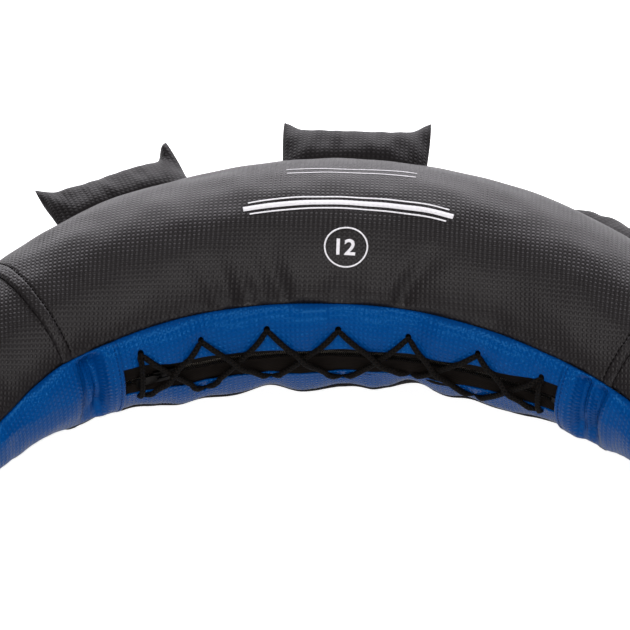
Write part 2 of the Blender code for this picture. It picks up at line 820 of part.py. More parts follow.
filling("sand_sack_middle", centre_stations(SACK_END_ANGLE, 12), middle_inset, FILLING)
for name, side in SIDES:
    gap = FILLING_GAP / INNER_RADIUS
    rows = horn_stations(SACK_END_ANGLE + gap, WADDING_ANGLE, side, 6)
    filling("sand_sack_" + name, rows, horn_inset, FILLING)
    end = NECK_ANGLE - (CORE_REACH + FILLING_GAP) / HORN_RADIUS
    rows = horn_stations(WADDING_ANGLE + gap, end, side, 4)
    filling("wadding_" + name, rows, horn_inset, FILLING)


# The stuffed grips on the outer seam, each held by a tab that is sewn in there


def grip_frame(angle):
    """Frame at the grip's fold line: X along the seam, Y away from the bag."""
    step = SEAM_GAP / INNER_RADIUS
    east = (flat_point(angle + step, 0.0) - flat_point(angle - step, 0.0)).normalized()
    out = Vector((0.0, 0.0, 1.0)).cross(east)
    frame = Matrix((east, out, Vector((0.0, 0.0, 1.0)))).transposed().to_4x4()
    frame.translation = flat_point(angle, 0.0) + out * (GRIP_TAB_LENGTH + GRIP_HINGE_GAP)
    return frame


def grip_tab(name, angle):
    """A flat strip from the curved seam to the straight fold line."""
    frame = grip_frame(angle)
    inverse = frame.inverted()
    width = GRIP_WIDTH - 2 * GRIP_DRAW_IN
    points = []
    for x in spaced(-width / 2, width / 2, 8):
        nearby = angle + x / (frame.translation.length)
        for _ in range(4):
            nearby += (x - (inverse @ flat_point(nearby, 0.0)).x) / frame.translation.length
        seam = inverse @ flat_point(nearby, 0.0)
        points.append(Vector((x, seam.y + CLEAR, GRIP_TAB_THICKNESS / 2)))
        points.append(Vector((x, -GRIP_HINGE_GAP, GRIP_TAB_THICKNESS / 2)))
    faces = []
    for k in range(0, len(points) - 2, 2):
        faces.append((k, k + 2, k + 3, k + 1))
    obj = mesh_object(name, points, faces)
    shell = obj.modifiers.new("Thickness", "SOLIDIFY")
    shell.thickness = GRIP_TAB_THICKNESS
    shell.offset = -1.0
    finish_object(obj, BLACK, 0.45)
    obj.matrix_local = WORLD @ frame
    return obj


GRIP_COLUMNS = 5
GRIP_ROWS = 4
# Fullness of the stuffing over the grip's length and width, as shares of its thickness
LENGTH_SHARES = (0.0, 0.86, 1.0, 0.90, 0.0)
WIDTH_SHARES = (0.0, 0.95, 1.0, 1.0, 0.95, 0.0)


def stuffed_grip(name, frame, pitch):
    """A pillow with drawn-in sides, full in the middle, with ears at its free corners."""
    hem = GRIP_HEM / 2
    layers = []
    for face in (1, -1):
        rows = []
        for j, along_share in enumerate(LENGTH_SHARES):
            v = j / GRIP_ROWS
            for i, across_share in enumerate(WIDTH_SHARES):
                u = 2 * i / GRIP_COLUMNS - 1
                half = GRIP_WIDTH / 2 - GRIP_DRAW_IN * math.sin(math.pi * v)
                reach = GRIP_LENGTH + GRIP_EAR * abs(u) ** 5
                full = hem + (GRIP_THICKNESS / 2 - hem) * along_share * across_share
                rows.append(Vector((u * half, hem / 2 + v * reach, face * full)))
        layers.append(rows)
    wide = GRIP_COLUMNS + 1
    count = len(layers[0])
    faces = []
    for j in range(GRIP_ROWS):
        for i in range(GRIP_COLUMNS):
            k = j * wide + i
            faces.append((k, k + 1, k + wide + 1, k + wide))
            faces.append((count + k, count + k + wide, count + k + wide + 1, count + k + 1))
    rim_loop = [i for i in range(wide)]
    rim_loop += [j * wide + wide - 1 for j in range(1, GRIP_ROWS + 1)]
    rim_loop += [GRIP_ROWS * wide + i for i in range(wide - 2, -1, -1)]
    rim_loop += [j * wide for j in range(GRIP_ROWS - 1, 0, -1)]
    for a, b in zip(rim_loop, rim_loop[1:] + rim_loop[:1]):
        faces.append((b, a, count + a, count + b))
    obj = mesh_object(name, layers[0] + layers[1], faces)
    rim_points = set(rim_loop) | {count + k for k in rim_loop}
    creases = obj.data.attributes.new("crease_edge", "FLOAT", "EDGE")
    for edge in obj.data.edges:
        creases.data[edge.index].value = 1.0 if set(edge.vertices) <= rim_points else 0.0
    smooth = obj.modifiers.new("Stuffing", "SUBSURF")
    smooth.levels = 2
    smooth.render_levels = 2
    finish_object(obj, BLACK, 0.45)
    obj.matrix_local = WORLD @ frame @ Matrix.Rotation(pitch, 4, "X")
    return obj


for name, angle, pitch in zip(("left", "middle", "right"), GRIP_ANGLES, GRIP_REST_PITCHES):
    grip_tab("grip_tab_" + name, angle)
    stuffed_grip("grip_" + name, grip_frame(angle), pitch)


# The end handles


def handle_frame(side):
    """Frame at the neck: Z along the handle, X straight down."""
    angle = side * NECK_ANGLE
    down = Vector((0.0, 0.0, -1.0))
    frame = Matrix((down, along(angle).cross(down), along(angle))).transposed().to_4x4()
    frame.translation = neck_middle(angle)
    return frame


def turned(name, profile, frame, colour, roughness, closed):
    """A turned piece; its profile runs down its outer side, as (radius, place along the axis)."""
    mesh = bpy.data.meshes.new(name)
    edges = [(k, k + 1) for k in range(len(profile) - 1)]
    if closed:
        edges.append((len(profile) - 1, 0))
    mesh.from_pydata([(radius, 0.0, z) for radius, z in profile], edges, [])
    obj = bpy.data.objects.new(name, mesh)
    PARTS.objects.link(obj)
    screw = obj.modifiers.new("Turn", "SCREW")
    screw.steps = ROUND_STEPS
    screw.render_steps = ROUND_STEPS
    screw.use_merge_vertices = True
    screw.merge_threshold = CLEAR / 10
    finish_object(obj, colour, roughness)
    obj.matrix_local = WORLD @ frame
    return obj


def ring(outer, inner, low, high):
    return [(outer, high), (outer, low), (inner, low), (inner, high)]


SLEEVE_START = HANDLE_TUCK_GAP
SLEEVE_END = SLEEVE_START + HANDLE_LENGTH
FOAM_OUT = HANDLE_RADIUS - SKIN - CLEAR
CORE_OUT = FOAM_OUT - HANDLE_FOAM - CLEAR
SPIGOT_OUT = CORE_OUT / 2
CAP_RADIUS = HANDLE_RADIUS - CAP_RIM_STEP
CAP_START = SLEEVE_END + CLEAR
for name, side in SIDES:
    frame = handle_frame(side)
    sleeve = ring(HANDLE_RADIUS, HANDLE_RADIUS - SKIN, SLEEVE_START, SLEEVE_END)
    turned("handle_sleeve_" + name, sleeve, frame, BLACK, 0.45, True)
    foam = ring(FOAM_OUT, FOAM_OUT - HANDLE_FOAM, SLEEVE_START, SLEEVE_END)
    turned("handle_foam_" + name, foam, frame, WEBBING, 0.9, True)
    core = [
        (0.0, SLEEVE_END - CAP_SPIGOT - CLEAR),
        (SPIGOT_OUT + CLEAR, SLEEVE_END - CAP_SPIGOT - CLEAR),
        (SPIGOT_OUT + CLEAR, SLEEVE_END),
        (CORE_OUT, SLEEVE_END),
        (CORE_OUT, -CORE_REACH),
        (0.0, -CORE_REACH),
    ]
    turned("handle_core_" + name, core, frame, FILLING, 0.7, False)
    cap = [
        (0.0, CAP_START + CAP_THICKNESS),
        (CAP_RADIUS - CAP_RIM_STEP, CAP_START + CAP_THICKNESS),
        (CAP_RADIUS, CAP_START + CAP_THICKNESS - CAP_RIM_STEP),
        (CAP_RADIUS, CAP_START),
        (SPIGOT_OUT, CAP_START),
        (SPIGOT_OUT, SLEEVE_END - CAP_SPIGOT),
        (0.0, SLEEVE_END - CAP_SPIGOT),
    ]
    turned("handle_cap_" + name, cap, frame, CORD_BLACK, 0.5, False)
    strap_in = NECK_HALF - UNDER + NECK_CLEAR
    strap = ring(strap_in + STRAP_THICKNESS, strap_in, STRAP_SETBACK, STRAP_SETBACK + STRAP_WIDTH)
    turned("neck_strap_" + name, strap, frame, WEBBING, 0.85, True)


def centre_over_origin():
    """Move the bag so that the middle of its outline is over the origin."""
    bpy.context.view_layer.update()
    graph = bpy.context.evaluated_depsgraph_get()
    corners = []
    for obj in PARTS.objects:
        if obj.type in {"MESH", "CURVE"}:
            shown = obj.evaluated_get(graph)
            mesh = shown.to_mesh()
            corners += [shown.matrix_world @ vertex.co for vertex in mesh.vertices]
            shown.to_mesh_clear()
    for axis in (0, 1):
        values = [corner[axis] for corner in corners]
        BAG.location[axis] = -(min(values) + max(values)) / 2


centre_over_origin()
bpy.context.view_layer.update()
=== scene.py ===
"""The looks of a bulgarian bag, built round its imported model.

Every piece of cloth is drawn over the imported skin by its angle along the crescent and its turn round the
tube (0 the outside, 90 the top, 180 the inside with the zip, 270 the underside), plus a relief: the slack of
the sand, the wrinkles over the seams and the pull of the lace. All sizes are in metres.
"""

import json
import math

import bmesh
import bpy
import numpy as np
from mathutils import Matrix, Vector


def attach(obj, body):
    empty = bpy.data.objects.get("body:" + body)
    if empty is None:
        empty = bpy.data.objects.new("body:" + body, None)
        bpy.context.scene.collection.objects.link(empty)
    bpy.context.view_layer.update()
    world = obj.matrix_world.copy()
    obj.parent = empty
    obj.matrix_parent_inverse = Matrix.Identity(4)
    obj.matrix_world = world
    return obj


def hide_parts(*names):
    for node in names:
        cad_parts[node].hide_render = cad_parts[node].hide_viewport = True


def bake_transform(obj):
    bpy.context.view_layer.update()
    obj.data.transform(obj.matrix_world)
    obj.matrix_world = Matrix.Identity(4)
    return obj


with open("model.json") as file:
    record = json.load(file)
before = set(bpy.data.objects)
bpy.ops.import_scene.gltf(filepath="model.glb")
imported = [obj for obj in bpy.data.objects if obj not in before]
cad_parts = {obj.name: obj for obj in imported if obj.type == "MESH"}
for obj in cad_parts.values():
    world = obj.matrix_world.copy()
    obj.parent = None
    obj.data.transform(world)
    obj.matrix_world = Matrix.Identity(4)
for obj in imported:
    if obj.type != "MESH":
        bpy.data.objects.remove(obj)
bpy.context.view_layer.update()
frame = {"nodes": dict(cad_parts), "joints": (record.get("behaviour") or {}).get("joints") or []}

FULL_TURN = 2 * math.pi

# The crescent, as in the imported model
INNER_RADIUS = 0.300
HORN_RADIUS = 0.140
HALF_WIDTH = 0.090
HALF_HEIGHT = 0.0725
# Radii of the tube's middle line, of its back, and of the folds over the seam
MIDDLE_RADIUS = INNER_RADIUS + HALF_WIDTH
OUTER_RADIUS = INNER_RADIUS + 2 * HALF_WIDTH
FOLD_RADIUS = INNER_RADIUS + 0.040
LAP_ANGLE = math.radians(36.4)
BEND_ANGLE = math.radians(50.0)
NECK_ANGLE = math.radians(83.0)
NECK_LENGTH = 0.030
TAPER_SHARES = (
    (0.0, 1.0, 1.0), (0.145, 0.970, 0.966), (0.290, 0.893, 0.878), (0.434, 0.757, 0.725),
    (0.578, 0.570, 0.545), (0.723, 0.440, 0.450), (0.867, 0.365, 0.405),
)
SKIN = 0.0015
UNDER = 0.0020
SEAM_TURN = math.radians(146.5)
LOWER_SEAM_TURN = FULL_TURN - SEAM_TURN
OVERLAP_ANGLE = 0.012 / MIDDLE_RADIUS
BAND_ANGLE = math.radians(30.6)
HALF_BAND = 0.011 / INNER_RADIUS
BAND_SHIFT = {"left": 0.0125, "right": 0.0225}
HANDLE_RADIUS = 0.0240
HANDLE_START = 0.002
HANDLE_LENGTH = 0.125
NECK_HALF = HANDLE_RADIUS + 0.0006 + SKIN + UNDER
STRAP_RADIUS = 0.0267
STRAP_THICKNESS = 0.0018
STRAP_START = 0.004
STRAP_WIDTH = 0.022
# The radii that lengths along the black and the blue cloth are measured at
CLOTH_RADIUS = 0.360
BLUE_CLOTH_RADIUS = 0.306

JOINTS = {joint["name"]: joint for joint in frame["joints"]}
ZIP_RUN = JOINTS["zip_run"]
NORMAL = -Vector(ZIP_RUN["axis"])
TILT = math.atan2(-NORMAL.y, NORMAL.z)
PLACE = Matrix.Translation(ZIP_RUN["pos_m"]) @ Matrix.Rotation(TILT, 4, "X")
PLACE_3 = np.array(PLACE.to_3x3())
PLACE_T = np.array(PLACE.translation)


# Shape of the tube


def taper_row(angle):
    """Half width and half height of the tube at one angle."""
    rows = TAPER_SHARES + ((1.0, NECK_HALF / HALF_WIDTH, NECK_HALF / HALF_HEIGHT),)
    at = min(abs(angle) / NECK_ANGLE, 1.0)
    k = max(i for i in range(len(rows) - 1) if rows[i][0] <= at)
    span = rows[k + 1][0] - rows[k][0]
    t = (at - rows[k][0]) / span
    halves = []
    for column, full in ((1, HALF_WIDTH), (2, HALF_HEIGHT)):
        slopes = []
        for i in (k, k + 1):
            if i in (0, len(rows) - 1):
                slopes.append(0.0)
            else:
                slopes.append((rows[i + 1][column] - rows[i - 1][column]) / (rows[i + 1][0] - rows[i - 1][0]))
        share = (2 * t**3 - 3 * t**2 + 1) * rows[k][column] + (3 * t**2 - 2 * t**3) * rows[k + 1][column]
        share += span * ((t**3 - 2 * t**2 + t) * slopes[0] + (t**3 - t**2) * slopes[1])
        halves.append(share * full)
    return halves


TABLE_ANGLES = np.linspace(0.0, NECK_ANGLE, 400)
TABLE_HALVES = np.array([taper_row(a) for a in TABLE_ANGLES])


def halves(angle):
    at = np.abs(angle)
    return np.interp(at, TABLE_ANGLES, TABLE_HALVES[:, 0]), np.interp(at, TABLE_ANGLES, TABLE_HALVES[:, 1])


def skin(angle, turn, lift=0.0, beyond=0.0):
    """World points of the skin, lifted off it, as an array of shape (..., 3)."""
    angle, turn, lift, beyond = np.broadcast_arrays(*(np.asarray(x, float) for x in (angle, turn, lift, beyond)))
    wide, high = halves(angle)
    nx, nz = np.cos(turn) / wide, np.sin(turn) / high
    size = np.hypot(nx, nz)
    side = np.where(angle >= 0, 1.0, -1.0)
    bent = np.abs(angle) > BEND_ANGLE
    inner = np.where(bent, HORN_RADIUS, INNER_RADIUS)
    away = np.where(bent, INNER_RADIUS - HORN_RADIUS, 0.0)
    reach = inner + wide + wide * np.cos(turn) + lift * nx / size
    x = np.sin(side * BEND_ANGLE) * away + np.sin(angle) * reach + side * np.cos(angle) * beyond
    y = math.cos(BEND_ANGLE) * away + np.cos(angle) * reach - side * np.sin(angle) * beyond
    z = high * np.sin(turn) + lift * nz / size
    points = np.stack((x, y, z), -1) @ PLACE_3.T + PLACE_T
    points[..., 2] = np.maximum(points[..., 2], np.maximum(0.0, -lift))
    return points


def step_round(angle, turn, length):
    """The turn that a length measured round the tube takes up."""
    wide, high = halves(angle)
    return length / np.hypot(wide * np.sin(turn), high * np.cos(turn))


def inner_turn(angle, height):
    """The turn of a point on the inside of the crescent at a height over the zip."""
    return math.pi - np.arcsin(np.clip(height / halves(angle)[1], -1, 1))


TURN_TABLE = np.linspace(0.0, FULL_TURN, 721)
ROUND_TABLE = np.concatenate(
    ([0.0], np.cumsum(np.hypot(HALF_WIDTH * np.sin(TURN_TABLE[1:]), HALF_HEIGHT * np.cos(TURN_TABLE[1:]))))
) * (TURN_TABLE[1] - TURN_TABLE[0])
ROUND_TOP = np.interp(math.pi / 2, TURN_TABLE, ROUND_TABLE)


def round_length(angle, turn):
    """Length round the tube from its top line."""
    wide, high = halves(angle)
    return (np.interp(turn, TURN_TABLE, ROUND_TABLE) - ROUND_TOP) * (wide + high) / (HALF_WIDTH + HALF_HEIGHT)


# Where the upper seam between black and blue runs, by angle, in degrees of turn
SEAM_LINE = (
    (-1.00, 156.0), (-0.86, 156.0), (-0.79, 151.2), (-0.73, 145.8), (-0.65, 142.0), (-0.57, 143.3),
    (-0.50, 144.3), (-0.36, 144.8), (-0.22, 146.2), (-0.03, 147.6), (0.17, 147.3), (0.31, 147.8),
    (0.46, 148.1), (0.61, 146.2), (0.69, 146.0), (0.80, 148.0),
)
SEAM_ANGLES = np.linspace(-1.5, 1.5, 601)
SEAM_TURNS = np.interp(SEAM_ANGLES, [a for a, _ in SEAM_LINE], [math.radians(t) for _, t in SEAM_LINE])
SEAM_TURNS = np.convolve(np.pad(SEAM_TURNS, 8, "edge"), np.hanning(19)[1:-1] / np.hanning(19)[1:-1].sum(), "valid")


def seam_turn(angle):
    return np.interp(angle, SEAM_ANGLES, SEAM_TURNS)


# The relief of the cloth


def waves(x, y, size, seed, count=9):
    """Soft unevenness about as wide as size."""
    rng = np.random.default_rng(seed)
    total = 0.0
    for _ in range(count):
        heading, stretch, phase = rng.uniform(0, FULL_TURN), rng.uniform(0.7, 1.4), rng.uniform(0, FULL_TURN)
        pitch = FULL_TURN / size * stretch
        total = total + np.cos(pitch * (x * math.cos(heading) + y * math.sin(heading)) + phase)
    return total / math.sqrt(count)


def bell(x, width):
    return np.exp(-((x / width) ** 2))


def fade(x, start, end):
    t = np.clip((x - start) / (end - start), 0.0, 1.0)
    return t * t * (3 - 2 * t)


# Lace holes, by the angle along the crescent and the height over the zip
UPPER_HOLES = (
    (-0.462, 0.0220), (-0.320, 0.0213), (-0.168, 0.0226), (-0.007, 0.0213), (0.153, 0.0196),
    (0.318, 0.0186), (0.474, 0.0156),
)
LOWER_HOLES = (
    (-0.4675, -0.0140), (-0.317, -0.0192), (-0.161, -0.0175), (0.003, -0.0217), (0.159, -0.0130),
    (0.311, -0.0225), (0.473, -0.0138),
)
# How hard the lace pulls at each place, and so how far the cloth swells between them
UPPER_PULLS = (0.5, 0.7, 0.9, 0.8, 0.8, 0.7, 0.5)
LOWER_PULLS = (0.25, 0.5, 1.15, 0.6, 1.35, 0.45, 0.3)


def between_holes(angle, holes):
    """0 at each lace hole and 1 half way between two of them."""
    places = np.array([h[0] for h in holes])
    step = np.interp(angle, places, np.arange(len(places)))
    wave = 0.5 - 0.5 * np.cos(FULL_TURN * step)
    outside = fade(np.abs(angle), abs(places[-1]), abs(places[-1]) + 0.05)
    return np.where((angle < places[0]) | (angle > places[-1]), 0.4 * outside, wave)


def pull_at(angle, holes, pulls):
    return np.interp(angle, [h[0] for h in holes], pulls) * fade(-np.abs(angle), -0.60, -0.50)


# Folds in the black cloth over the seam: angle at the seam and at the top, reach up, half width, and height
TOP_FOLDS = (
    (-0.266, -0.300, 0.046, 0.0060, -0.0016),
    (-0.245, -0.262, 0.040, 0.0055, 0.0016),
    (-0.205, -0.226, 0.044, 0.0075, -0.0024),
    (-0.172, -0.212, 0.040, 0.0042, 0.0012),
    (-0.122, -0.172, 0.050, 0.0062, -0.0024),
    (-0.096, -0.146, 0.046, 0.0062, 0.0020),
    (-0.054, -0.056, 0.036, 0.0070, 0.0012),
    (-0.004, 0.004, 0.034, 0.0110, -0.0020),
    (0.054, 0.056, 0.038, 0.0080, 0.0012),
    (0.100, 0.154, 0.050, 0.0055, 0.0024),
    (0.122, 0.180, 0.050, 0.0065, -0.0028),
    (0.196, 0.216, 0.040, 0.0100, 0.0010),
    (-0.350, -0.380, 0.036, 0.0100, -0.0008),
    (0.330, 0.356, 0.036, 0.0100, -0.0009),
)
# Folds in the blue cloth beside the end bands: angle at the upper seam, half way and at the lower seam, half
# width, and height
SIDE_FOLDS = (
    (-0.573, -0.565, -0.579, 0.0050, -0.0108),
    (-0.592, -0.597, -0.609, 0.0046, -0.0064),
    (0.577, 0.576, 0.583, 0.0052, -0.0094),
    (0.598, 0.595, 0.601, 0.0034, 0.0012),
    (0.622, 0.614, 0.619, 0.0048, -0.0088),
    (-0.690, -0.695, -0.700, 0.0120, 0.0010),
    (0.700, 0.705, 0.710, 0.0120, 0.0010),
)


# How the sand fills out the cloth below the zip and over the back: angle, and height in millimetres
LOWER_FILL = (
    (-0.86, 6.0), (-0.80, 4.5), (-0.72, 1.0), (-0.62, 0.0), (-0.54, -2.4), (-0.49, -0.5), (-0.42, 2.2),
    (-0.36, 5.2), (-0.30, 4.2), (-0.24, 2.4), (-0.18, 3.0), (-0.12, 3.8), (-0.06, 3.0), (0.00, 1.5),
    (0.06, 0.5), (0.10, -1.4), (0.16, -4.2), (0.20, -2.8), (0.26, -1.6), (0.34, 1.2), (0.41, -0.4),
    (0.50, -1.9), (0.60, 1.2), (0.66, 2.5), (0.75, 1.0), (0.90, 0.0),
)
BACK_FILL = (
    (-0.75, 1.0), (-0.60, 2.2), (-0.54, 1.4), (-0.42, 0.0), (-0.27, -1.8), (-0.13, -1.6), (0.14, -0.6),
    (0.50, 0.0),
)


def filled_out(angle, line):
    """The line's heights in metres, read by angle, smooth from point to point."""
    places = np.array([a for a, _ in line])
    heights = np.array([h for _, h in line]) * 0.001
    k = np.clip(np.searchsorted(places, angle) - 1, 0, len(places) - 2)
    t = fade(angle, places[k], places[k + 1])
    return heights[k] * (1 - t) + heights[k + 1] * t


# Where the sand fills the cloth out, as the turn and the breadth of the bulge
LOWER_BULGE = (math.radians(214.0), math.radians(22.0))
BACK_BULGE = (math.radians(52.0), math.radians(28.0))
PUCKER_PITCH = 0.0066
SEAM_DEPTH = 0.0019
SEAM_WIDTH = 0.0013


def relief(angle, turn):
    """How far the cloth stands off the plain skin."""
    angle, turn = np.broadcast_arrays(np.asarray(angle, float), np.asarray(turn, float))
    along = angle * CLOTH_RADIUS
    around = round_length(angle, turn)
    open_share = fade(-np.abs(angle), -math.radians(78.0), -math.radians(66.0))
    rise = 0.0005 * waves(along, around, 0.085, 3) + 0.00025 * waves(along, around, 0.034, 5)
    per_metre = step_round(angle, SEAM_TURN, 1.0)
    upper = (seam_turn(angle) - turn) / per_metre
    lower = (turn - LOWER_SEAM_TURN) / per_metre
    rise += filled_out(angle, LOWER_FILL) * bell(turn - LOWER_BULGE[0], LOWER_BULGE[1])
    rise += filled_out(angle, BACK_FILL) * bell(turn - BACK_BULGE[0], BACK_BULGE[1])
    # folds that run up the black cloth from the blue one
    for low, top, reach, width, height in TOP_FOLDS:
        share = np.clip(upper / reach, 0.0, 1.2)
        middle = low + (top - low) * share**1.3
        size = 1.35 * width * (0.8 + 0.8 * share)
        strength = fade(share, 0.0, 0.10) * fade(-share, -1.15, -0.25)
        rise += height * bell((angle - middle) * FOLD_RADIUS, size) * np.where(upper > 0, strength, 0.0)
    # small puckers along the upper seam
    shift = waves(along, 0 * along, 0.030, 31)
    rise += 0.00016 * bell(upper, 0.0075) * np.cos(FULL_TURN * along / PUCKER_PITCH + shift)
    # the flaps swell between the lace holes and are drawn in at them
    blue = (upper < 0) & (lower < 0)
    length = np.maximum((inner_turn(angle, 0.008) - seam_turn(angle)) / per_metre, 0.01)
    share = np.clip(-upper / length, 0.0, 1.0)
    swell = between_holes(angle, UPPER_HOLES) * pull_at(angle, UPPER_HOLES, UPPER_PULLS)
    rise += np.where(blue & (turn < math.pi), 0.0036 * (swell - 0.35) * np.sin(math.pi * share) ** 0.8, 0.0)
    swell = between_holes(angle, LOWER_HOLES) * pull_at(angle, LOWER_HOLES, LOWER_PULLS)
    hollow = (1 - between_holes(angle, LOWER_HOLES)) * pull_at(angle, LOWER_HOLES, LOWER_PULLS)
    reach = bell(turn - math.radians(216.0), math.radians(17.0))
    rise += (0.0019 * swell - 0.0030 * hollow) * reach
    for holes, depth in ((UPPER_HOLES, 0.0013), (LOWER_HOLES, 0.0012)):
        for place, height in holes:
            across = (angle - place) * INNER_RADIUS
            middle = inner_turn(place, height)
            up = (turn - middle) / step_round(place, middle, 1.0)
            rise -= depth * bell(np.hypot(across, up), 0.0065)
    # the blue cloth rolls over at the upper seam
    roll = np.clip(-upper, 0.0, 0.2) / 0.010
    uneven = 1 + 0.80 * waves(along, 0 * along, 0.042, 91)
    rise += np.where(blue, 0.0022 * roll * np.exp(1 - roll) * np.clip(uneven, 0.3, 1.7), 0.0)
    # folds beside the two end bands of the zip, in the blue cloth
    inside = fade(-upper, 0.0002, 0.0060) * fade(-lower, 0.0040, 0.0240)
    down = np.clip(-upper / np.maximum(-upper - lower, 0.001), 0.0, 1.0)
    for top, half_way, low, width, height in SIDE_FOLDS:
        middle = top * (1 - down) * (1 - 2 * down) + 4 * half_way * down * (1 - down) + low * down * (2 * down - 1)
        rise += height * inside * bell((angle - middle) * INNER_RADIUS, width)
    # cross folds towards the necks
    cross = bell(np.abs(angle) - 1.02, 0.20)
    rise += 0.0008 * cross * waves(along * 1.5, around * 0.5, 0.030, 41)
    # the seams themselves, drawn in
    for distance in (upper, lower):
        rise = rise - SEAM_DEPTH * np.exp(-np.abs(distance) / SEAM_WIDTH) - 0.0006 * bell(distance, 0.006)
    outer = np.minimum(turn, FULL_TURN - turn) / step_round(angle, 0.0, 1.0)
    rise = rise - SEAM_DEPTH * np.exp(-outer / SEAM_WIDTH) - 0.0010 * bell(outer, 0.008)
    rise += 0.0004 * bell(outer - 0.012, 0.010) * waves(along, around, 0.016, 47)
    return rise * (0.15 + 0.85 * open_share)


# Materials


class Nodes:
    """A material's nodes, made one after another."""

    def __init__(self, name):
        self.material = bpy.data.materials.new(name)
        self.material.use_nodes = True
        self.tree = self.material.node_tree
        self.shader = self.tree.nodes["Principled BSDF"]

    def set(self, node, socket, value):
        if isinstance(value, bpy.types.NodeSocket):
            self.tree.links.new(value, node.inputs[socket])
        else:
            node.inputs[socket].default_value = value

    def add(self, kind, **values):
        """A new node, with its sockets set or linked."""
        node = self.tree.nodes.new("ShaderNode" + kind)
        for socket, value in values.items():
            self.set(node, socket, value)
        return node

    def math(self, kind, *values):
        node = self.add("Math")
        node.operation = kind
        for n, value in enumerate(values):
            self.set(node, n, value)
        return node.outputs[0]

    def ease(self, *values):
        """A value eased from one range to another, or to 0 to 1."""
        node = self.add("MapRange")
        node.interpolation_type = "SMOOTHSTEP"
        for n, value in enumerate(values):
            self.set(node, n, value)
        return node.outputs[0]

    def place(self):
        """A point's place on its cloth laid flat, as a vector and as its two lengths."""
        node = self.add("Attribute")
        node.attribute_name = "cloth"
        vector = node.outputs["Vector"]
        split = self.add("SeparateXYZ", Vector=vector)
        return vector, split.outputs[0], split.outputs[1]

    def noise(self, vector, scale, detail=3.0):
        return self.add("TexNoise", Vector=vector, Scale=scale, Detail=detail, Roughness=0.55).outputs[0]

    def blend(self, share, first, second):
        node = self.add("Mix")
        node.data_type = "RGBA"
        self.set(node, "Factor", share)
        for socket, colour in ((6, first), (7, second)):
            self.set(node, socket, (*colour, 1.0))
        return node.outputs[2]

    def bump(self, height, strength, distance):
        return self.add("Bump", Height=height, Strength=strength, Distance=distance).outputs[0]

    def finish(self, colour, roughness, normal, **values):
        values = {"Base_Color": colour, "Roughness": roughness, "Normal": normal, **values}
        for socket, value in values.items():
            self.set(self.shader, socket.replace("_", " "), value)
        return self.material


EMBOSS_PITCH = 0.0034
BRAID_PITCH = 2300.0
BRAID_STRANDS = 4.0


def coated_cloth(name, dark, light, roughness, strength, level=0.4, tint=(1.0, 1.0, 1.0)):
    """Coated cloth pressed with rows and columns of small bumps, like a basket weave, with painted shade in the
    hollows between them.
    """
    n = Nodes(name)
    vector, u, v = n.place()
    column = n.math("MULTIPLY", u, FULL_TURN / EMBOSS_PITCH)
    row = n.math("MULTIPLY", v, FULL_TURN / EMBOSS_PITCH)
    ridge = n.math("COSINE", column)
    square = n.math("MULTIPLY", ridge, 0.32)
    for wave, share in ((row, 0.24), (n.math("ADD", column, row), 0.22), (n.math("SUBTRACT", column, row), 0.22)):
        square = n.math("MULTIPLY_ADD", n.math("COSINE", wave), share, square)
    square = n.ease(square, -0.75, 0.75)
    grain = n.noise(vector, 1500.0, 3.0)
    soft = n.noise(vector, 14.0, 3.0)
    height = n.math("MULTIPLY_ADD", grain, 0.12, square)
    normal = n.bump(height, strength, 0.00045)
    # painted shade: the colour is darker in the hollows of the emboss and lighter on its bumps, over a soft random
    # tone
    tone = n.math("MULTIPLY_ADD", soft, 0.50, n.math("MULTIPLY", square, 0.50))
    colour = n.blend(n.ease(tone, 0.10, 0.90), dark, light)
    rough = n.math("MULTIPLY_ADD", n.noise(vector, 60.0, 4.0), 0.14, roughness - 0.04)
    rough = n.math("SUBTRACT", rough, n.math("MULTIPLY", square, 0.07))
    n.set(n.shader, "Specular IOR Level", n.ease(square, 0.0, 1.0, level * 0.86, level * 1.12))
    return n.finish(colour, rough, normal, Specular_Tint=(*tint, 1.0))


def woven(name, dark, light, pitch, roughness=0.85, strength=0.5):
    """Tape or webbing: ribs along the piece, with finer threads across, and painted shade between them."""
    n = Nodes(name)
    vector, u, v = n.place()
    ribs = n.math("SINE", n.math("MULTIPLY", v, FULL_TURN / pitch))
    shift = n.math("MULTIPLY", ribs, 0.8)
    threads = n.math("SINE", n.math("ADD", n.math("MULTIPLY", u, FULL_TURN / (pitch * 0.7)), shift))
    height = n.math("MULTIPLY_ADD", threads, 0.35, n.math("MULTIPLY", ribs, 0.65))
    # painted shade: darker between the ribs and threads and lighter on them, with a random tone over it
    tone = n.ease(n.math("ADD", height, n.noise(vector, 300.0)), -0.6, 1.4)
    normal = n.bump(height, strength, pitch * 0.10)
    return n.finish(n.blend(tone, dark, light), roughness, normal, Specular_IOR_Level=0.06)


def braided(name, dark, light):
    """Cord: strands that cross each other round it, with painted highlight on their crowns; u runs along the cord,
    v is the turn round it.
    """
    n = Nodes(name)
    vector, u, v = n.place()
    strands = []
    for kind in ("ADD", "SUBTRACT"):
        turned = n.math(kind, n.math("MULTIPLY", u, BRAID_PITCH), n.math("MULTIPLY", v, BRAID_STRANDS))
        strands.append(n.math("SINE", turned))
    height = n.math("MAXIMUM", *strands)
    # painted highlight: lighter brown specks on the crowns of the strands, where the noise lifts them
    tone = n.ease(n.math("ADD", height, n.noise(vector, 900.0)), 1.0, 1.9)
    normal = n.bump(height, 0.9, 0.00035)
    return n.finish(n.blend(tone, dark, light), 0.70, normal, Specular_IOR_Level=0.10)


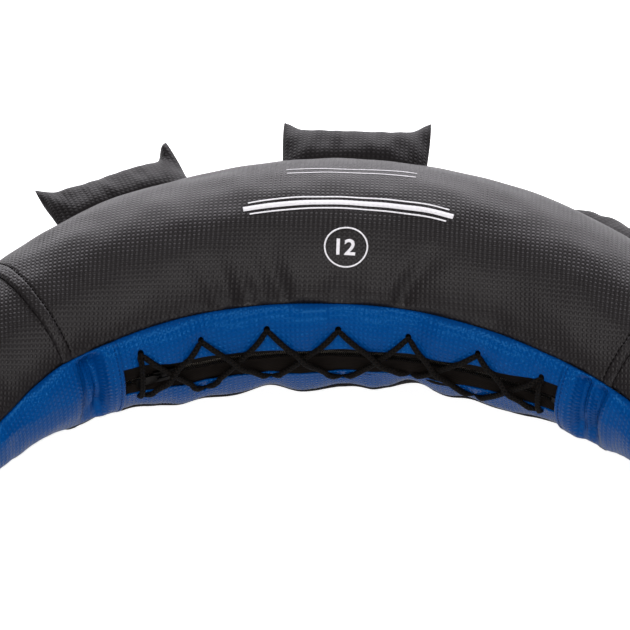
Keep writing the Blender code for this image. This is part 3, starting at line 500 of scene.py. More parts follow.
def grained(name, dark, light, scale, roughness, strength, distance, metallic=0.0, level=0.5):
    """A plain solid with a grain of its own: thread, foam, rubber, moulded plastic, metal or sacking."""
    n = Nodes(name)
    vector = n.add("TexCoord").outputs["Object"]
    fine = n.noise(vector, scale, 5.0)
    broad = n.noise(vector, scale * 0.06, 3.0)
    tone = n.ease(n.math("MULTIPLY_ADD", broad, 0.6, n.math("MULTIPLY", fine, 0.4)), 0.25, 0.75)
    rough = n.math("MULTIPLY_ADD", broad, 0.12, roughness - 0.06)
    normal = n.bump(fine, strength, distance)
    return n.finish(n.blend(tone, dark, light), rough, normal, Metallic=metallic, Specular_IOR_Level=level)


BLACK = ((0.0078, 0.0064, 0.0069), (0.0124, 0.0106, 0.0111))
BLUE = ((0.0001, 0.040, 0.176), (0.0002, 0.050, 0.217))
BLACK_CLOTH = coated_cloth("black_coated_cloth", *BLACK, 0.36, 0.70, 0.16)
UNDER_CLOTH = coated_cloth("black_coated_cloth_under", *BLACK, 0.42, 0.72, 0.02)
BLUE_CLOTH = coated_cloth("blue_coated_cloth", *BLUE, 0.13, 0.90, 0.26, (0.10, 0.52, 1.0))
# the pads' cloth is the black cloth painted a little darker: painted shade
PAD_CLOTH = coated_cloth("pad_coated_cloth", (0.0064, 0.0053, 0.0057), (0.0100, 0.0084, 0.0088), 0.42, 0.60, 0.08)
PRINT_INK = coated_cloth("print_ink", (0.73, 0.72, 0.75), (0.80, 0.79, 0.82), 0.50, 0.20, 0.25)
TAPE_CLOTH = woven("zip_tape_weave", (0.0040, 0.0030, 0.0024), (0.0098, 0.0074, 0.0060), 0.0011)
WEBBING = woven("webbing_weave", (0.009, 0.009, 0.010), (0.026, 0.026, 0.028), 0.0021, 0.8, 0.8)
# the cord's lighter colour is the painted highlight on the crowns of its strands
CORD = braided("cord_braid", (0.0005, 0.0003, 0.0002), (0.0115, 0.0078, 0.0055))
BLACK_THREAD = grained(
    "black_thread", (0.0020, 0.0018, 0.0018), (0.0050, 0.0043, 0.0042), 1400.0, 0.85, 0.5, 0.0002, level=0.05
)
BLUE_THREAD = grained(
    "blue_thread", (0.0004, 0.012, 0.070), (0.001, 0.025, 0.120), 1400.0, 0.80, 0.5, 0.0002, level=0.08
)
COIL_NYLON = grained(
    "coil_nylon", (0.0030, 0.0024, 0.0022), (0.0080, 0.0064, 0.0056), 700.0, 0.60, 0.2, 0.0001, level=0.12
)
DARK_METAL = grained(
    "dark_zip_metal", (0.0100, 0.0090, 0.0085), (0.026, 0.024, 0.022), 500.0, 0.42, 0.3, 0.0001, metallic=0.95
)
SACKING = grained("sand_sacking", (0.36, 0.32, 0.25), (0.55, 0.50, 0.42), 350.0, 0.92, 0.7, 0.0006)
FOAM = grained("foam_cells", (0.012, 0.012, 0.012), (0.030, 0.030, 0.030), 900.0, 0.90, 0.8, 0.0005)
PLASTIC = grained("moulded_plastic", (0.30, 0.29, 0.27), (0.42, 0.41, 0.39), 250.0, 0.50, 0.3, 0.0002)
RUBBER = grained("moulded_rubber", (0.010, 0.010, 0.010), (0.022, 0.022, 0.022), 500.0, 0.58, 0.5, 0.0003)


# Building tools

SIDES = (("left", -1), ("right", 1))


def piece(obj, body, material, nodes=(), angle=40.0):
    """Gives a mesh its material and its edges' sharpness, and says what it is in the model."""
    obj.data.materials.append(material)
    obj.data.shade_smooth()
    obj.data.set_sharp_from_angle(angle=math.radians(angle))
    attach(obj, body)
    if nodes:
        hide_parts(*nodes)


def add_object(name, data):
    obj = bpy.data.objects.new(name, data)
    bpy.context.scene.collection.objects.link(obj)
    return obj


def new_mesh(name, points, faces, cloth=None):
    mesh = bpy.data.meshes.new(name)
    mesh.from_pydata(np.asarray(points, float).reshape(-1, 3).tolist(), [], faces)
    if cloth is not None:
        values = np.zeros((len(mesh.vertices), 3), np.float32)
        values[:, :2] = np.asarray(cloth, float).reshape(-1, 2)
        mesh.attributes.new("cloth", "FLOAT_VECTOR", "POINT").data.foreach_set("vector", values.ravel())
    return add_object(name, mesh)


def grid_faces(rows, wide, closed=False):
    faces = []
    last = wide if closed else wide - 1
    for i in range(rows - 1):
        for j in range(last):
            k = (j + 1) % wide
            faces.append((i * wide + j, i * wide + k, (i + 1) * wide + k, (i + 1) * wide + j))
    return faces


def solidify(obj, thickness, offset=-1.0):
    shell = obj.modifiers.new("Thickness", "SOLIDIFY")
    shell.thickness = thickness
    shell.offset = offset


def apply_modifiers(obj):
    bpy.context.view_layer.update()
    evaluated = obj.evaluated_get(bpy.context.evaluated_depsgraph_get())
    mesh = bpy.data.meshes.new_from_object(evaluated)
    obj.modifiers.clear()
    old = obj.data
    obj.data = mesh
    bpy.data.meshes.remove(old)


def face_out(obj, looks_in):
    """Turns a mesh's faces all one way, and then all round if they look in."""
    bm = bmesh.new()
    bm.from_mesh(obj.data)
    bmesh.ops.recalc_face_normals(bm, faces=bm.faces)
    if looks_in(bm.faces[:]):
        bmesh.ops.reverse_faces(bm, faces=bm.faces)
    bm.to_mesh(obj.data)
    bm.free()


def run_along(points):
    """The length along a line of points, up to each of them."""
    return np.concatenate(([0.0], np.cumsum(np.linalg.norm(np.diff(points, axis=0), axis=1))))


def read_at(places, run, points):
    """Points read off a line of points, at lengths along it."""
    return np.stack([np.interp(places, run, points[:, i]) for i in range(3)], -1)


def crowded(start, end, steps, edge_first=0.0, edge_last=0.0, edge_steps=5):
    """Even steps with extra ones close to an end, where a seam's edge curls in."""
    values = list(np.linspace(start, end, steps + 1))
    extra = []
    for edge, size, sign in ((start, edge_first, 1), (end, edge_last, -1)):
        if size:
            extra += [edge + sign * size * (k / edge_steps) ** 1.5 for k in range(1, edge_steps + 1)]
    return np.array(sorted(set(round(x, 7) for x in values + extra)))


def cloth_place(angle, turn, beyond, radius):
    """Where a point lies on its panel laid flat: black panels are flat crescents, blue ones straight strips."""
    beyond = np.sign(angle) * beyond
    if radius != CLOTH_RADIUS:
        return np.stack((angle * radius + beyond, round_length(angle, turn)), -1)
    reach = MIDDLE_RADIUS - round_length(angle, np.where(turn > math.pi, FULL_TURN - turn, turn))
    x = reach * np.sin(angle) + beyond * np.cos(angle)
    return np.stack((x, beyond * np.sin(angle) - reach * np.cos(angle)), -1)


def laid(name, node, material, angles, turns, lift, faces, radius, thickness=SKIN, beyond=0.0):
    """A sheet of cloth, lifted off the plain skin."""
    places = cloth_place(angles, turns, beyond + 0 * turns, radius)
    obj = new_mesh(name, skin(angles, turns, lift, beyond), faces, places)
    solidify(obj, thickness)
    piece(obj, "bag", material, [node])


def sewn(name, node, material, angles, turns, lift, beyond=None, radius=CLOTH_RADIUS):
    """A panel over the skin and its relief. Turns may be one row, or one row for each angle."""
    turns = turns if turns.ndim > 1 else np.broadcast_to(turns, (len(angles), len(turns)))
    grid = np.broadcast_to(angles[:, None], turns.shape)
    beyond = np.zeros((len(angles), 1)) if beyond is None else beyond[:, None]
    faces = grid_faces(*turns.shape)
    laid(name, node, material, grid, turns, relief(grid, turns) + lift, faces, radius, beyond=beyond)


def sewn_blue(name, node, angles, lift, beyond=None):
    sewn(name, node, BLUE_CLOTH, angles, blue_rows(angles), lift, beyond, BLUE_CLOTH_RADIUS)


# The black covers

EDGE = 0.10
TOP_TURNS = crowded(0.0, SEAM_TURN, 96, EDGE, EDGE)
UNDER_TURNS = crowded(LOWER_SEAM_TURN, FULL_TURN, 64, EDGE, EDGE)
BLUE_TURNS = crowded(SEAM_TURN, LOWER_SEAM_TURN, 52, EDGE, EDGE)
HEM_STEPS = np.arange(0.4, 12.5, 0.6) / (1000 * MIDDLE_RADIUS)
MIDDLE_ANGLES = {*np.linspace(-LAP_ANGLE, LAP_ANGLE, 281), *(HEM_STEPS - LAP_ANGLE), *(LAP_ANGLE - HEM_STEPS)}
MIDDLE_ANGLES = np.array(sorted(MIDDLE_ANGLES))


def top_rows(angles, step=1):
    return np.asarray(seam_turn(angles))[:, None] * (TOP_TURNS[::step] / SEAM_TURN)[None, :]


def blue_rows(angles):
    share = (BLUE_TURNS - SEAM_TURN) / (FULL_TURN - 2 * SEAM_TURN)
    start = np.asarray(seam_turn(angles))[:, None]
    return start + (LOWER_SEAM_TURN - start) * share[None, :]


def hem_lift(angles):
    """The folded edge of the middle covers stands a little proud of the rest."""
    from_edge = (LAP_ANGLE - np.abs(angles)) * MIDDLE_RADIUS
    raised = 0.0006 * fade(-from_edge, -0.0120, -0.0090) - 0.0010 * bell(from_edge - 0.0095, 0.0012)
    return (raised - 0.0009 * bell(from_edge, 0.0012))[:, None]


for name, node, cloth, rows in (
    ("cover_top", "panel_top", BLACK_CLOTH, top_rows(MIDDLE_ANGLES)),
    ("cover_underside", "panel_underside", UNDER_CLOTH, UNDER_TURNS),
):
    sewn(name, node, cloth, MIDDLE_ANGLES, rows, hem_lift(MIDDLE_ANGLES))


def horn_rows(start, side, steps=110):
    """Angles and straight lengths from near the middle to the end of the neck, in order of growing angle."""
    straight = np.linspace(0.0, NECK_LENGTH, 9)[1:]
    angles = np.append(np.linspace(start, NECK_ANGLE, steps + 1), np.full(len(straight), NECK_ANGLE)) * side
    beyond = np.append(np.zeros(steps + 1), straight)
    return (angles, beyond) if side > 0 else (angles[::-1], beyond[::-1])


def neck_gather(beyond):
    """The cloth's end is drawn in a little under the strap."""
    return -0.0004 * fade(beyond, 0.001, 0.004)[:, None]


for label, side in SIDES:
    angles, beyond = horn_rows(LAP_ANGLE - OVERLAP_ANGLE, side)
    for name, node, cloth, rows in (
        ("horn_cover_top_", "horn_top_", BLACK_CLOTH, top_rows(angles, 2)),
        ("horn_cover_under_", "horn_underside_", UNDER_CLOTH, UNDER_TURNS[::2]),
    ):
        lift = neck_gather(beyond) - UNDER
        sewn(name + label, node + label, cloth, angles, rows, lift, beyond)
    angles, beyond = horn_rows(BAND_ANGLE + 0.001, side, 130)
    lift = neck_gather(beyond) - UNDER * fade(np.abs(angles), LAP_ANGLE, LAP_ANGLE + 0.05)[:, None]
    sewn_blue("horn_cover_inside_" + label, "horn_inside_" + label, angles, lift - 0.0003, beyond)


# The laced flaps

UPPER_EDGE = 0.0085
LOWER_EDGE = 0.0140
EDGE_SPAN = 0.51
HOLE_HALF_LONG = 0.0022
HOLE_HALF_HIGH = 0.0030


def flap_edge(angle, top):
    """Height over the zip of a flap's free edge."""
    out = np.abs(angle) / EDGE_SPAN
    small = 0.0004 * waves(angle * 0.3, 0 * angle, 0.045, 61 if top else 67)
    if top:
        swell = between_holes(angle, UPPER_HOLES)
        return UPPER_EDGE + 0.0078 * out**2.2 - 0.0009 * (swell - 0.5) + small
    hollow = 1 - between_holes(angle, LOWER_HOLES)
    return -(LOWER_EDGE - 0.0072 * out**2.2) + 0.0005 * (0.5 - hollow) + 0.0022 * bell(angle - 0.160, 0.05) + small


def flap_turns(angle, top):
    start = seam_turn(angle) if top else SEAM_TURN * np.ones_like(angle)
    end = inner_turn(angle, np.abs(flap_edge(angle, top)))
    share = crowded(0.0, 1.0, 30, 0.10, 0.04)
    turns = start[:, None] + (end - start)[:, None] * share[None, :]
    if not top:
        turns = FULL_TURN - turns[:, ::-1]
    return turns


def punched(angles, turns, holes, faces, above):
    """Opens an oval hole at each place: whole faces inside go, and the edge is drawn out to the oval."""
    angles, turns = angles.ravel().copy(), turns.ravel().copy()
    inside = np.zeros(len(angles), bool)
    for place, height in holes:
        middle = float(inner_turn(place, height + above))
        around = float(step_round(place, middle, 1.0))
        x = (angles - place) * INNER_RADIUS / HOLE_HALF_LONG
        y = (turns - middle) / around / HOLE_HALF_HIGH
        size = np.hypot(x, y)
        near = size < 1.0
        inside |= near
        grow = np.where(near, 1.0 / np.maximum(size, 0.05), 1.0)
        angles = np.where(near, place + x * grow * HOLE_HALF_LONG / INNER_RADIUS, angles)
        turns = np.where(near, middle + y * grow * HOLE_HALF_HIGH * around, turns)
    faces = [f for f in faces if not all(inside[v] for v in f)]
    used = sorted({v for f in faces for v in f})
    order = {v: n for n, v in enumerate(used)}
    return angles[used], turns[used], [tuple(order[v] for v in f) for f in faces]


FLAP_ANGLES = np.linspace(-BAND_ANGLE, BAND_ANGLE, 441)
for label, top, holes, above in (("upper", True, UPPER_HOLES, 0.0016), ("lower", False, LOWER_HOLES, -0.0004)):
    turns = flap_turns(FLAP_ANGLES, top)
    grid = np.broadcast_to(FLAP_ANGLES[:, None], turns.shape)
    grid, turns, faces = punched(grid, turns, holes, grid_faces(*turns.shape), above)
    lift = relief(grid, turns)
    laid("laced_flap_" + label, "flap_" + label, BLUE_CLOTH, grid, turns, lift, faces, BLUE_CLOTH_RADIUS)


# The end bands that cover the zip's two ends

for label, side in SIDES:
    centre = BAND_ANGLE + BAND_SHIFT[label]
    rows = crowded(centre - HALF_BAND, centre + HALF_BAND, 30, 0.006, 0.006, 4) * side
    rows = rows if side > 0 else rows[::-1]
    from_edge = (np.abs(rows) - centre + HALF_BAND) * INNER_RADIUS
    to_end = 2 * HALF_BAND * INNER_RADIUS - from_edge
    lift = (UNDER + 0.0010) * fade(to_end, -0.002, 0.010) - 0.0010
    lift = (lift - 0.0009 * bell(from_edge, 0.0010) - 0.0004 * bell(from_edge - 0.0030, 0.0009))[:, None]
    sewn_blue("end_band_" + label, "zip_band_" + label, rows, lift)


# Stitches

LAP_STITCH_INSET = 0.0094
BAND_STITCHES = (-0.0080, -0.0034)


def stitch_rows(name, paths, material, radius, length=0.0026, pitch=0.0034):
    """Short threads along each path of (point, outward direction), their ends drawn into the cloth."""
    sides, rings = 6, 5
    thread = grid_faces(rings, sides, True)
    thread += [tuple(range(sides))[::-1], tuple(range((rings - 1) * sides, rings * sides))]
    points, faces = [], []
    for path in paths:
        places = np.array([p for p, _ in path])
        outs = np.array([o for _, o in path])
        run = run_along(places)
        for k in range(int(run[-1] / pitch)):
            at = (k + 0.5) * pitch + np.linspace(-length / 2, length / 2, rings)
            line = read_at(at, run, places)
            out = read_at(at[2], run, outs)
            out /= np.linalg.norm(out)
            heading = line[-1] - line[0]
            heading /= np.linalg.norm(heading)
            across = np.cross(out, heading)
            faces += [tuple(len(points) + v for v in face) for face in thread]
            for i in range(rings):
                t = 2 * i / (rings - 1) - 1
                centre = line[i] + out * radius * (0.65 - 1.25 * t**4)
                size = radius * (1 - 0.35 * t**4)
                for s in range(sides):
                    a = FULL_TURN * s / sides
                    points.append(centre + (across * math.cos(a) + out * math.sin(a)) * size)
    piece(new_mesh(name, points, faces), "bag", material, (), 60.0)


def on_cloth(angle, turns, lift):
    """A path round the tube at one angle, as points of the cloth with the way out of it."""
    step = 0.0005
    path = []
    for turn in turns:
        here = relief(angle, turn) + lift
        east = Vector(skin(angle + step, turn, here)) - Vector(skin(angle - step, turn, here))
        north = Vector(skin(angle, turn - step, here)) - Vector(skin(angle, turn + step, here))
        path.append((Vector(skin(angle, turn, here)), east.normalized().cross(north).normalized()))
    return path


for label, side in SIDES:
    angle = side * (LAP_ANGLE - LAP_STITCH_INSET / MIDDLE_RADIUS)
    lift = hem_lift([angle])[0, 0]
    paths = [on_cloth(angle, turns[3:-3], lift) for turns in (top_rows([angle])[0], UNDER_TURNS)]
    stitch_rows("lap_stitches_" + label, paths, BLACK_THREAD, 0.00048)
    paths = []
    for offset in BAND_STITCHES:
        angle = side * (BAND_ANGLE + BAND_SHIFT[label] + offset / INNER_RADIUS)
        paths.append(on_cloth(angle, blue_rows([angle])[0][3:-3], UNDER - 0.0004))
    stitch_rows("band_stitches_" + label, paths, BLUE_THREAD, 0.00028, 0.0022, 0.0030)


# The zip

COIL_GAP = 0.0012
COIL_HEIGHT = 0.0020
COIL_DEPTH = 0.0024
TAPE_DEPTH = 0.0051
TAPE_THICKNESS = 0.0008
COIL_TOP = TAPE_DEPTH + 0.0005 - COIL_DEPTH / 2
COIL_ANGLE = BAND_ANGLE - 0.010 / INNER_RADIUS
TAPE_END = BAND_ANGLE - 0.001

tape_angles = np.linspace(-TAPE_END, TAPE_END, 181)
for label, top in (("upper", True), ("lower", False)):
    edge = np.abs(flap_edge(tape_angles, top))
    coil = COIL_GAP / 2 + COIL_HEIGHT + 0.0003
    shares = np.linspace(0.0, 1.0, 15)
    reach = edge + 0.003 - coil
    heights = coil + reach[:, None] * shares[None, :]
    turns = inner_turn(tape_angles[:, None], heights)
    up = fade(heights, (edge * 0.45)[:, None], (edge + 0.0005)[:, None])
    depth = TAPE_DEPTH * (1 - up) + (SKIN + 0.0007) * up
    depth = depth - relief(tape_angles[:, None], turns) * up
    depth = depth + 0.00025 * waves(tape_angles[:, None] * 0.3, heights, 0.020, 71)
    if top:
        turns, depth = turns[:, ::-1], depth[:, ::-1]
    else:
        turns = FULL_TURN - turns
    grid = np.broadcast_to(tape_angles[:, None], turns.shape)
    name, faces = "zip_tape_weave_" + label, grid_faces(*turns.shape)
    laid(name, "zip_tape_" + label, TAPE_CLOTH, grid, turns, -depth, faces, INNER_RADIUS, TAPE_THICKNESS)


def tube_mesh(name, centres, radius, sides, modulate=None):
    """A closed round tube along an array of points, with the length along it as u and the turn as v."""
    heading = np.gradient(centres, axis=0)
    heading /= np.linalg.norm(heading, axis=1)[:, None]
    across = np.cross(heading[0], (0.0, 0.0, 1.0))
    if np.linalg.norm(across) < 0.1:
        across = np.cross(heading[0], (1.0, 0.0, 0.0))
    turns = FULL_TURN * np.arange(sides) / sides
    points, places = [], []
    for centre, way, length in zip(centres, heading, run_along(centres)):
        across = across - way * np.dot(across, way)
        across /= np.linalg.norm(across)
        size = np.full(sides, radius) if modulate is None else radius * modulate(length, turns)
        ring = centre + (np.cos(turns) * size)[:, None] * across
        points.append(ring + (np.sin(turns) * size)[:, None] * np.cross(way, across))
        places.append(np.stack((np.full(sides, length), turns), -1))
    faces = [f[::-1] for f in grid_faces(len(centres), sides, True)]
    count = len(centres) * sides
    faces.append(tuple(range(sides)))
    faces.append(tuple(range(count - 1, count - sides - 1, -1)))
    return new_mesh(name, np.concatenate(points), faces, np.concatenate(places))


COIL_PITCH = 0.0013
COIL_WIRE = 0.00026
COIL_COUNT = int(2 * COIL_ANGLE * INNER_RADIUS / COIL_PITCH)
for label, sign, start in (("upper", 1, 0.0), ("lower", -1, math.pi)):
    t = np.linspace(0, 1, COIL_COUNT * 8 + 1)
    phase = FULL_TURN * COIL_COUNT * t + start
    height = COIL_GAP / 2 + COIL_HEIGHT / 2 + (COIL_HEIGHT / 2 - COIL_WIRE) * np.cos(phase)
    depth = COIL_TOP + COIL_DEPTH / 2 + (COIL_DEPTH / 2 - COIL_WIRE) * np.sin(phase)
    angle = -COIL_ANGLE + 2 * COIL_ANGLE * t
    coil = tube_mesh("zip_coil_teeth_" + label, skin(angle, inner_turn(angle, sign * height), -depth), COIL_WIRE, 5)
    piece(coil, "bag", COIL_NYLON, ["zip_coil_" + label], 60.0)


# The lace

CORD_RADIUS = 0.0020
PAIRS = len(UPPER_HOLES)
UPPER_SPREAD = 0.0008
LOWER_SPREAD = 0.0016
LACE_LIFT = CORD_RADIUS + 0.0002
LACE_MOUTH = 0.0012
LACE_DEEP = 0.0056


def over_flap(angle, height, clearance):
    """A point over the flaps and the zip at a height over it, clear of the cloth."""
    turn = inner_turn(angle, height)
    rise = relief(angle, turn)
    if flap_edge(angle, False) < height < flap_edge(angle, True):
        rise = min(rise, 0.0)
    return skin(angle, turn, rise + clearance)


def lace_visit(k, top, out_side):
    """The angle and height at which the cord passes through a hole, to one side of its middle."""
    place, height = (UPPER_HOLES if top else LOWER_HOLES)[k]
    return place + out_side * (UPPER_SPREAD if top else LOWER_SPREAD) / INNER_RADIUS, height


def lace_strand(first, second, over):
    """Lace points between two holes, where strands may cross: over the other, under it, or None."""
    (a0, h0), (a1, h1) = first, second
    points = []
    crossing = abs(h0) / (abs(h0) + abs(h1))
    for share in np.linspace(0.0, 1.0, 25)[2:-2]:
        hump = bell(share - crossing, 0.13) if over else 0.0
        dip = -0.0007 * bell(share - crossing, 0.16) if over is False else 0.0
        sink = 0.55 * LACE_LIFT * (1 - fade(min(share, 1 - share), 0.0, 0.16))
        lift = LACE_LIFT - sink + 0.0034 * hump + dip
        points.append(over_flap(a0 + (a1 - a0) * share, h0 + (h1 - h0) * share, lift))
    return points


def lace_route():
    """The whole lace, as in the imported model: down one zigzag, across at the left, and back up the other."""
    last = PAIRS - 1
    visits = [(last, True, None, -1)]
    top = False
    for k in range(last - 1, -1, -1):
        visits.append((k, top, 1, -1))
        top = not top
    top = not visits[-1][1]
    for k in range(0, last + 1):
        visits.append((k, top, -1, 1))
        top = not top
    visits.append((last, True, 1, None))
    return visits


def smooth_path(points, step):
    """Points read at even steps from a smooth curve through the given ones."""
    fine = []
    padded = np.vstack((2 * points[0] - points[1], points, 2 * points[-1] - points[-2]))
    for k in range(1, len(padded) - 2):
        a, b, c, d = padded[k - 1 : k + 3]
        for t in np.linspace(0, 1, 12, endpoint=False):
            curve = 2 * b + (c - a) * t + (2 * a - 5 * b + 4 * c - d) * t**2 + (3 * b - a - 3 * c + d) * t**3
            fine.append(0.5 * curve)
    fine = np.array([*fine, points[-1]])
    run = run_along(fine)
    return read_at(np.linspace(0, run[-1], int(run[-1] / step) + 1), run, fine)


def in_hole(k, top, side, depth):
    """The cord going down through a hole, inside the flap."""
    return over_flap(*lace_visit(k, top, side), -depth)


def braid(length, turns):
    one, two = (np.sin(BRAID_PITCH * length + way * BRAID_STRANDS * turns) for way in (1, -1))
    return 1.0 + 0.025 * np.maximum(one, two)


visits = lace_route()
world = [in_hole(*visits[0][:2], visits[0][3], LACE_DEEP)]
for (k0, top0, _, out_side), (k1, top1, in_side, leaves) in zip(visits, visits[1:]):
    over = None if k0 == k1 else (top0 == (k0 < k1)) != (min(k0, k1) == 0)
    world.append(in_hole(k0, top0, out_side, LACE_MOUTH))
    world += lace_strand(lace_visit(k0, top0, out_side), lace_visit(k1, top1, in_side), over)
    world += [in_hole(k1, top1, in_side, depth) for depth in (LACE_MOUTH, LACE_DEEP)]
    if leaves is not None:
        world.append(in_hole(k1, top1, leaves, LACE_DEEP))
lace = tube_mesh("lace_cord", smooth_path(np.array(world), 0.0006), CORD_RADIUS, 16, braid)
piece(lace, "bag", CORD, ["lace"], 80.0)


# The print: a ring with a number, and plain stripes


PRINT_LIFT = 0.00022
NUMERAL_STEP = 0.0016
RING_ANGLE = 0.004
RING_TURN = math.radians(119.3)
LONG_TURN = math.radians(95.0)
SHORT_TURN = math.radians(69.0)


def printed(name, x, y, faces, turn):
    """A flat drawing laid on the cloth, x to the right and y up, at its real size."""
    wide, high = halves(RING_ANGLE)
    angles = RING_ANGLE + x / (INNER_RADIUS + wide * (1 + math.cos(turn)))
    turns = turn - y / math.hypot(wide * math.sin(turn), high * math.cos(turn))
    points = skin(angles, turns, relief(angles, turns) + PRINT_LIFT)
    obj = new_mesh(name, points, faces, cloth_place(angles, turns, 0 * turns, CLOTH_RADIUS))
    face_out(obj, lambda faces: sum(f.normal.z for f in faces) < 0)
    solidify(obj, PRINT_LIFT, 0.0)
    piece(obj, "bag", PRINT_INK)


def ring(radii, sides=128):
    """A flat ring as x, y and faces."""
    turns = np.linspace(0, FULL_TURN, sides + 1)[:-1]
    x, y = (np.concatenate([way(turns) * radius for radius in radii]) for way in (np.cos, np.sin))
    return x, y, grid_faces(len(radii), sides, True)


def stripe(half, low, high, steps=160, rows=3):
    """A band from -half to half, between two heights, as x, y and faces."""
    y, x = np.meshgrid(np.linspace(low, high, rows), np.linspace(-half, half, steps), indexing="ij")
    return x.ravel(), y.ravel(), grid_faces(rows, steps)


def digits(text, size):
    """Plain numerals as x, y and faces, cut fine enough to lie on the cloth."""
    curve = bpy.data.curves.new("numerals", "FONT")
    curve.body = text
    curve.size = size
    curve.align_x = "CENTER"
    curve.align_y = "CENTER"
    curve.offset = size * 0.022
    curve.resolution_u = 6
    shape = add_object("numerals", curve)
    bpy.context.view_layer.update()
    mesh = bpy.data.meshes.new_from_object(shape.evaluated_get(bpy.context.evaluated_depsgraph_get()))
    bpy.data.objects.remove(shape, do_unlink=True)
    bm = bmesh.new()
    bm.from_mesh(mesh)
    bmesh.ops.remove_doubles(bm, verts=bm.verts, dist=1e-6)
    bmesh.ops.triangulate(bm, faces=bm.faces)
    for _ in range(3):
        long_edges = [e for e in bm.edges if e.calc_length() > NUMERAL_STEP]
        if long_edges:
            bmesh.ops.subdivide_edges(bm, edges=long_edges, cuts=1, use_grid_fill=False)
            bmesh.ops.triangulate(bm, faces=bm.faces)
    bm.verts.index_update()
    x = np.array([v.co.x for v in bm.verts])
    y = np.array([v.co.y for v in bm.verts])
    faces = [tuple(v.index for v in f.verts) for f in bm.faces]
    bm.free()
    return x - (x.min() + x.max()) / 2, y - (y.min() + y.max()) / 2, faces


# The pads


PAD_ACROSS = 60
PAD_DEEP = 34
PAD_WIDTH = 0.111
PAD_LENGTH = 0.0630
PAD_EAR = 0.0080
PAD_SLIM = 0.0034
PAD_THICKNESS = 0.028
STUFFING = {
    "quality": 7,
    "mass": 0.2,
    "tension_stiffness": 25,
    "compression_stiffness": 25,
    "shear_stiffness": 10,
    "bending_stiffness": 1.2,
    "use_pressure": True,
    "uniform_pressure_force": 4.0,
    "vertex_group_mass": "hem",
}
STUFFING_FRAMES = 26
PAD_SMOOTHINGS = 7
PAD_MOST_MOVED = 0.010


def pillow_cage(thickness):
    """Two layers of cloth joined at their edges, narrower at the hem, with an ear at each free corner."""
    across, deep = PAD_ACROSS, PAD_DEEP
    points, index, faces = [], {}, []
    for layer in (1, -1):
        for j in range(deep + 1):
            for i in range(across + 1):
                rim = i in (0, across) or j in (0, deep)
                if rim and layer < 0:
                    index[(layer, i, j)] = index[(1, i, j)]
                    continue
                u, v = 2 * i / across - 1, j / deep
                reach = PAD_LENGTH - PAD_EAR + PAD_EAR * (0.5 * abs(u) ** 4 + 0.5 * float(fade(abs(u), 0.72, 0.94)))
                half = PAD_WIDTH / 2 - PAD_SLIM * (1 - v) ** 1.5 - 0.0008 * v**8
                index[(layer, i, j)] = len(points)
                full = max(1 - abs(u) ** 3.2, 0.0) ** 0.75 * max(1 - abs(2 * v - 1) ** 2.6, 0.0) ** 0.7
                points.append((u * half, v * reach, layer * thickness / 2 * full))
    for layer in (1, -1):
        for j in range(deep):
            for i in range(across):
                face = tuple(index[(layer, i + x, j + y)] for x, y in ((0, 0), (1, 0), (1, 1), (0, 1)))
                faces.append(face if layer > 0 else face[::-1])
    hem = [index[(1, i, 0)] for i in range(across + 1)]
    corners = [index[(1, i, deep)] for i in (0, 1, across - 1, across)]
    return np.array(points), faces, hem + corners


def stuffed_pad():
    """The pad's cloth blown up by its stuffing, in the pad's own frame, with its places laid flat."""
    start = 0.72
    flat, faces, held = pillow_cage(PAD_THICKNESS * start)
    places = flat[:, :2].copy()
    obj = new_mesh("pad_blank", flat, faces)
    obj.vertex_groups.new(name="hem").add(held, 1.0, "REPLACE")
    cloth = obj.modifiers.new("Cloth", "CLOTH")
    for setting, value in STUFFING.items():
        setattr(cloth.settings, setting, value)
    cloth.settings.effector_weights.gravity = 0.0
    cloth.point_cache.frame_start = 1
    cloth.point_cache.frame_end = STUFFING_FRAMES
    for step in range(1, STUFFING_FRAMES + 1):
        bpy.context.scene.frame_set(step)
    apply_modifiers(obj)
    moved = np.array([v.co for v in obj.data.vertices]) - flat
    links = np.array([e.vertices[:] for e in obj.data.edges])
    bpy.data.objects.remove(obj, do_unlink=True)
    bpy.context.scene.frame_set(1)
    # the coated cloth is too stiff for small creases, so they are averaged out
    count = np.bincount(links.ravel(), minlength=len(flat))[:, None]
    for _ in range(PAD_SMOOTHINGS):
        total = np.zeros_like(moved)
        np.add.at(total, links[:, 0], moved[links[:, 1]])
        np.add.at(total, links[:, 1], moved[links[:, 0]])
        moved = 0.4 * moved + 0.6 * total / count
    size = np.linalg.norm(moved, axis=1)
    moved *= np.minimum(1.0, PAD_MOST_MOVED / np.maximum(size, 1e-9))[:, None]
    return flat + moved, faces, places


PAD_SHAPE, PAD_FACES, PAD_PLACES = stuffed_pad()
PAD_SHAPE[:, 2] *= (PAD_THICKNESS + 0.001) / np.ptp(PAD_SHAPE[:, 2])


def pad_frame(joint, pitch):
    """Frame at a pad's fold line: X along the seam, Y away from the bag."""
    east = Vector(joint["axis"]).normalized()
    out = NORMAL.cross(east).normalized()
    matrix = Matrix((east, out, east.cross(out))).transposed().to_4x4()
    matrix.translation = joint["pos_m"]
    return matrix @ Matrix.Rotation(math.radians(pitch), 4, "X")


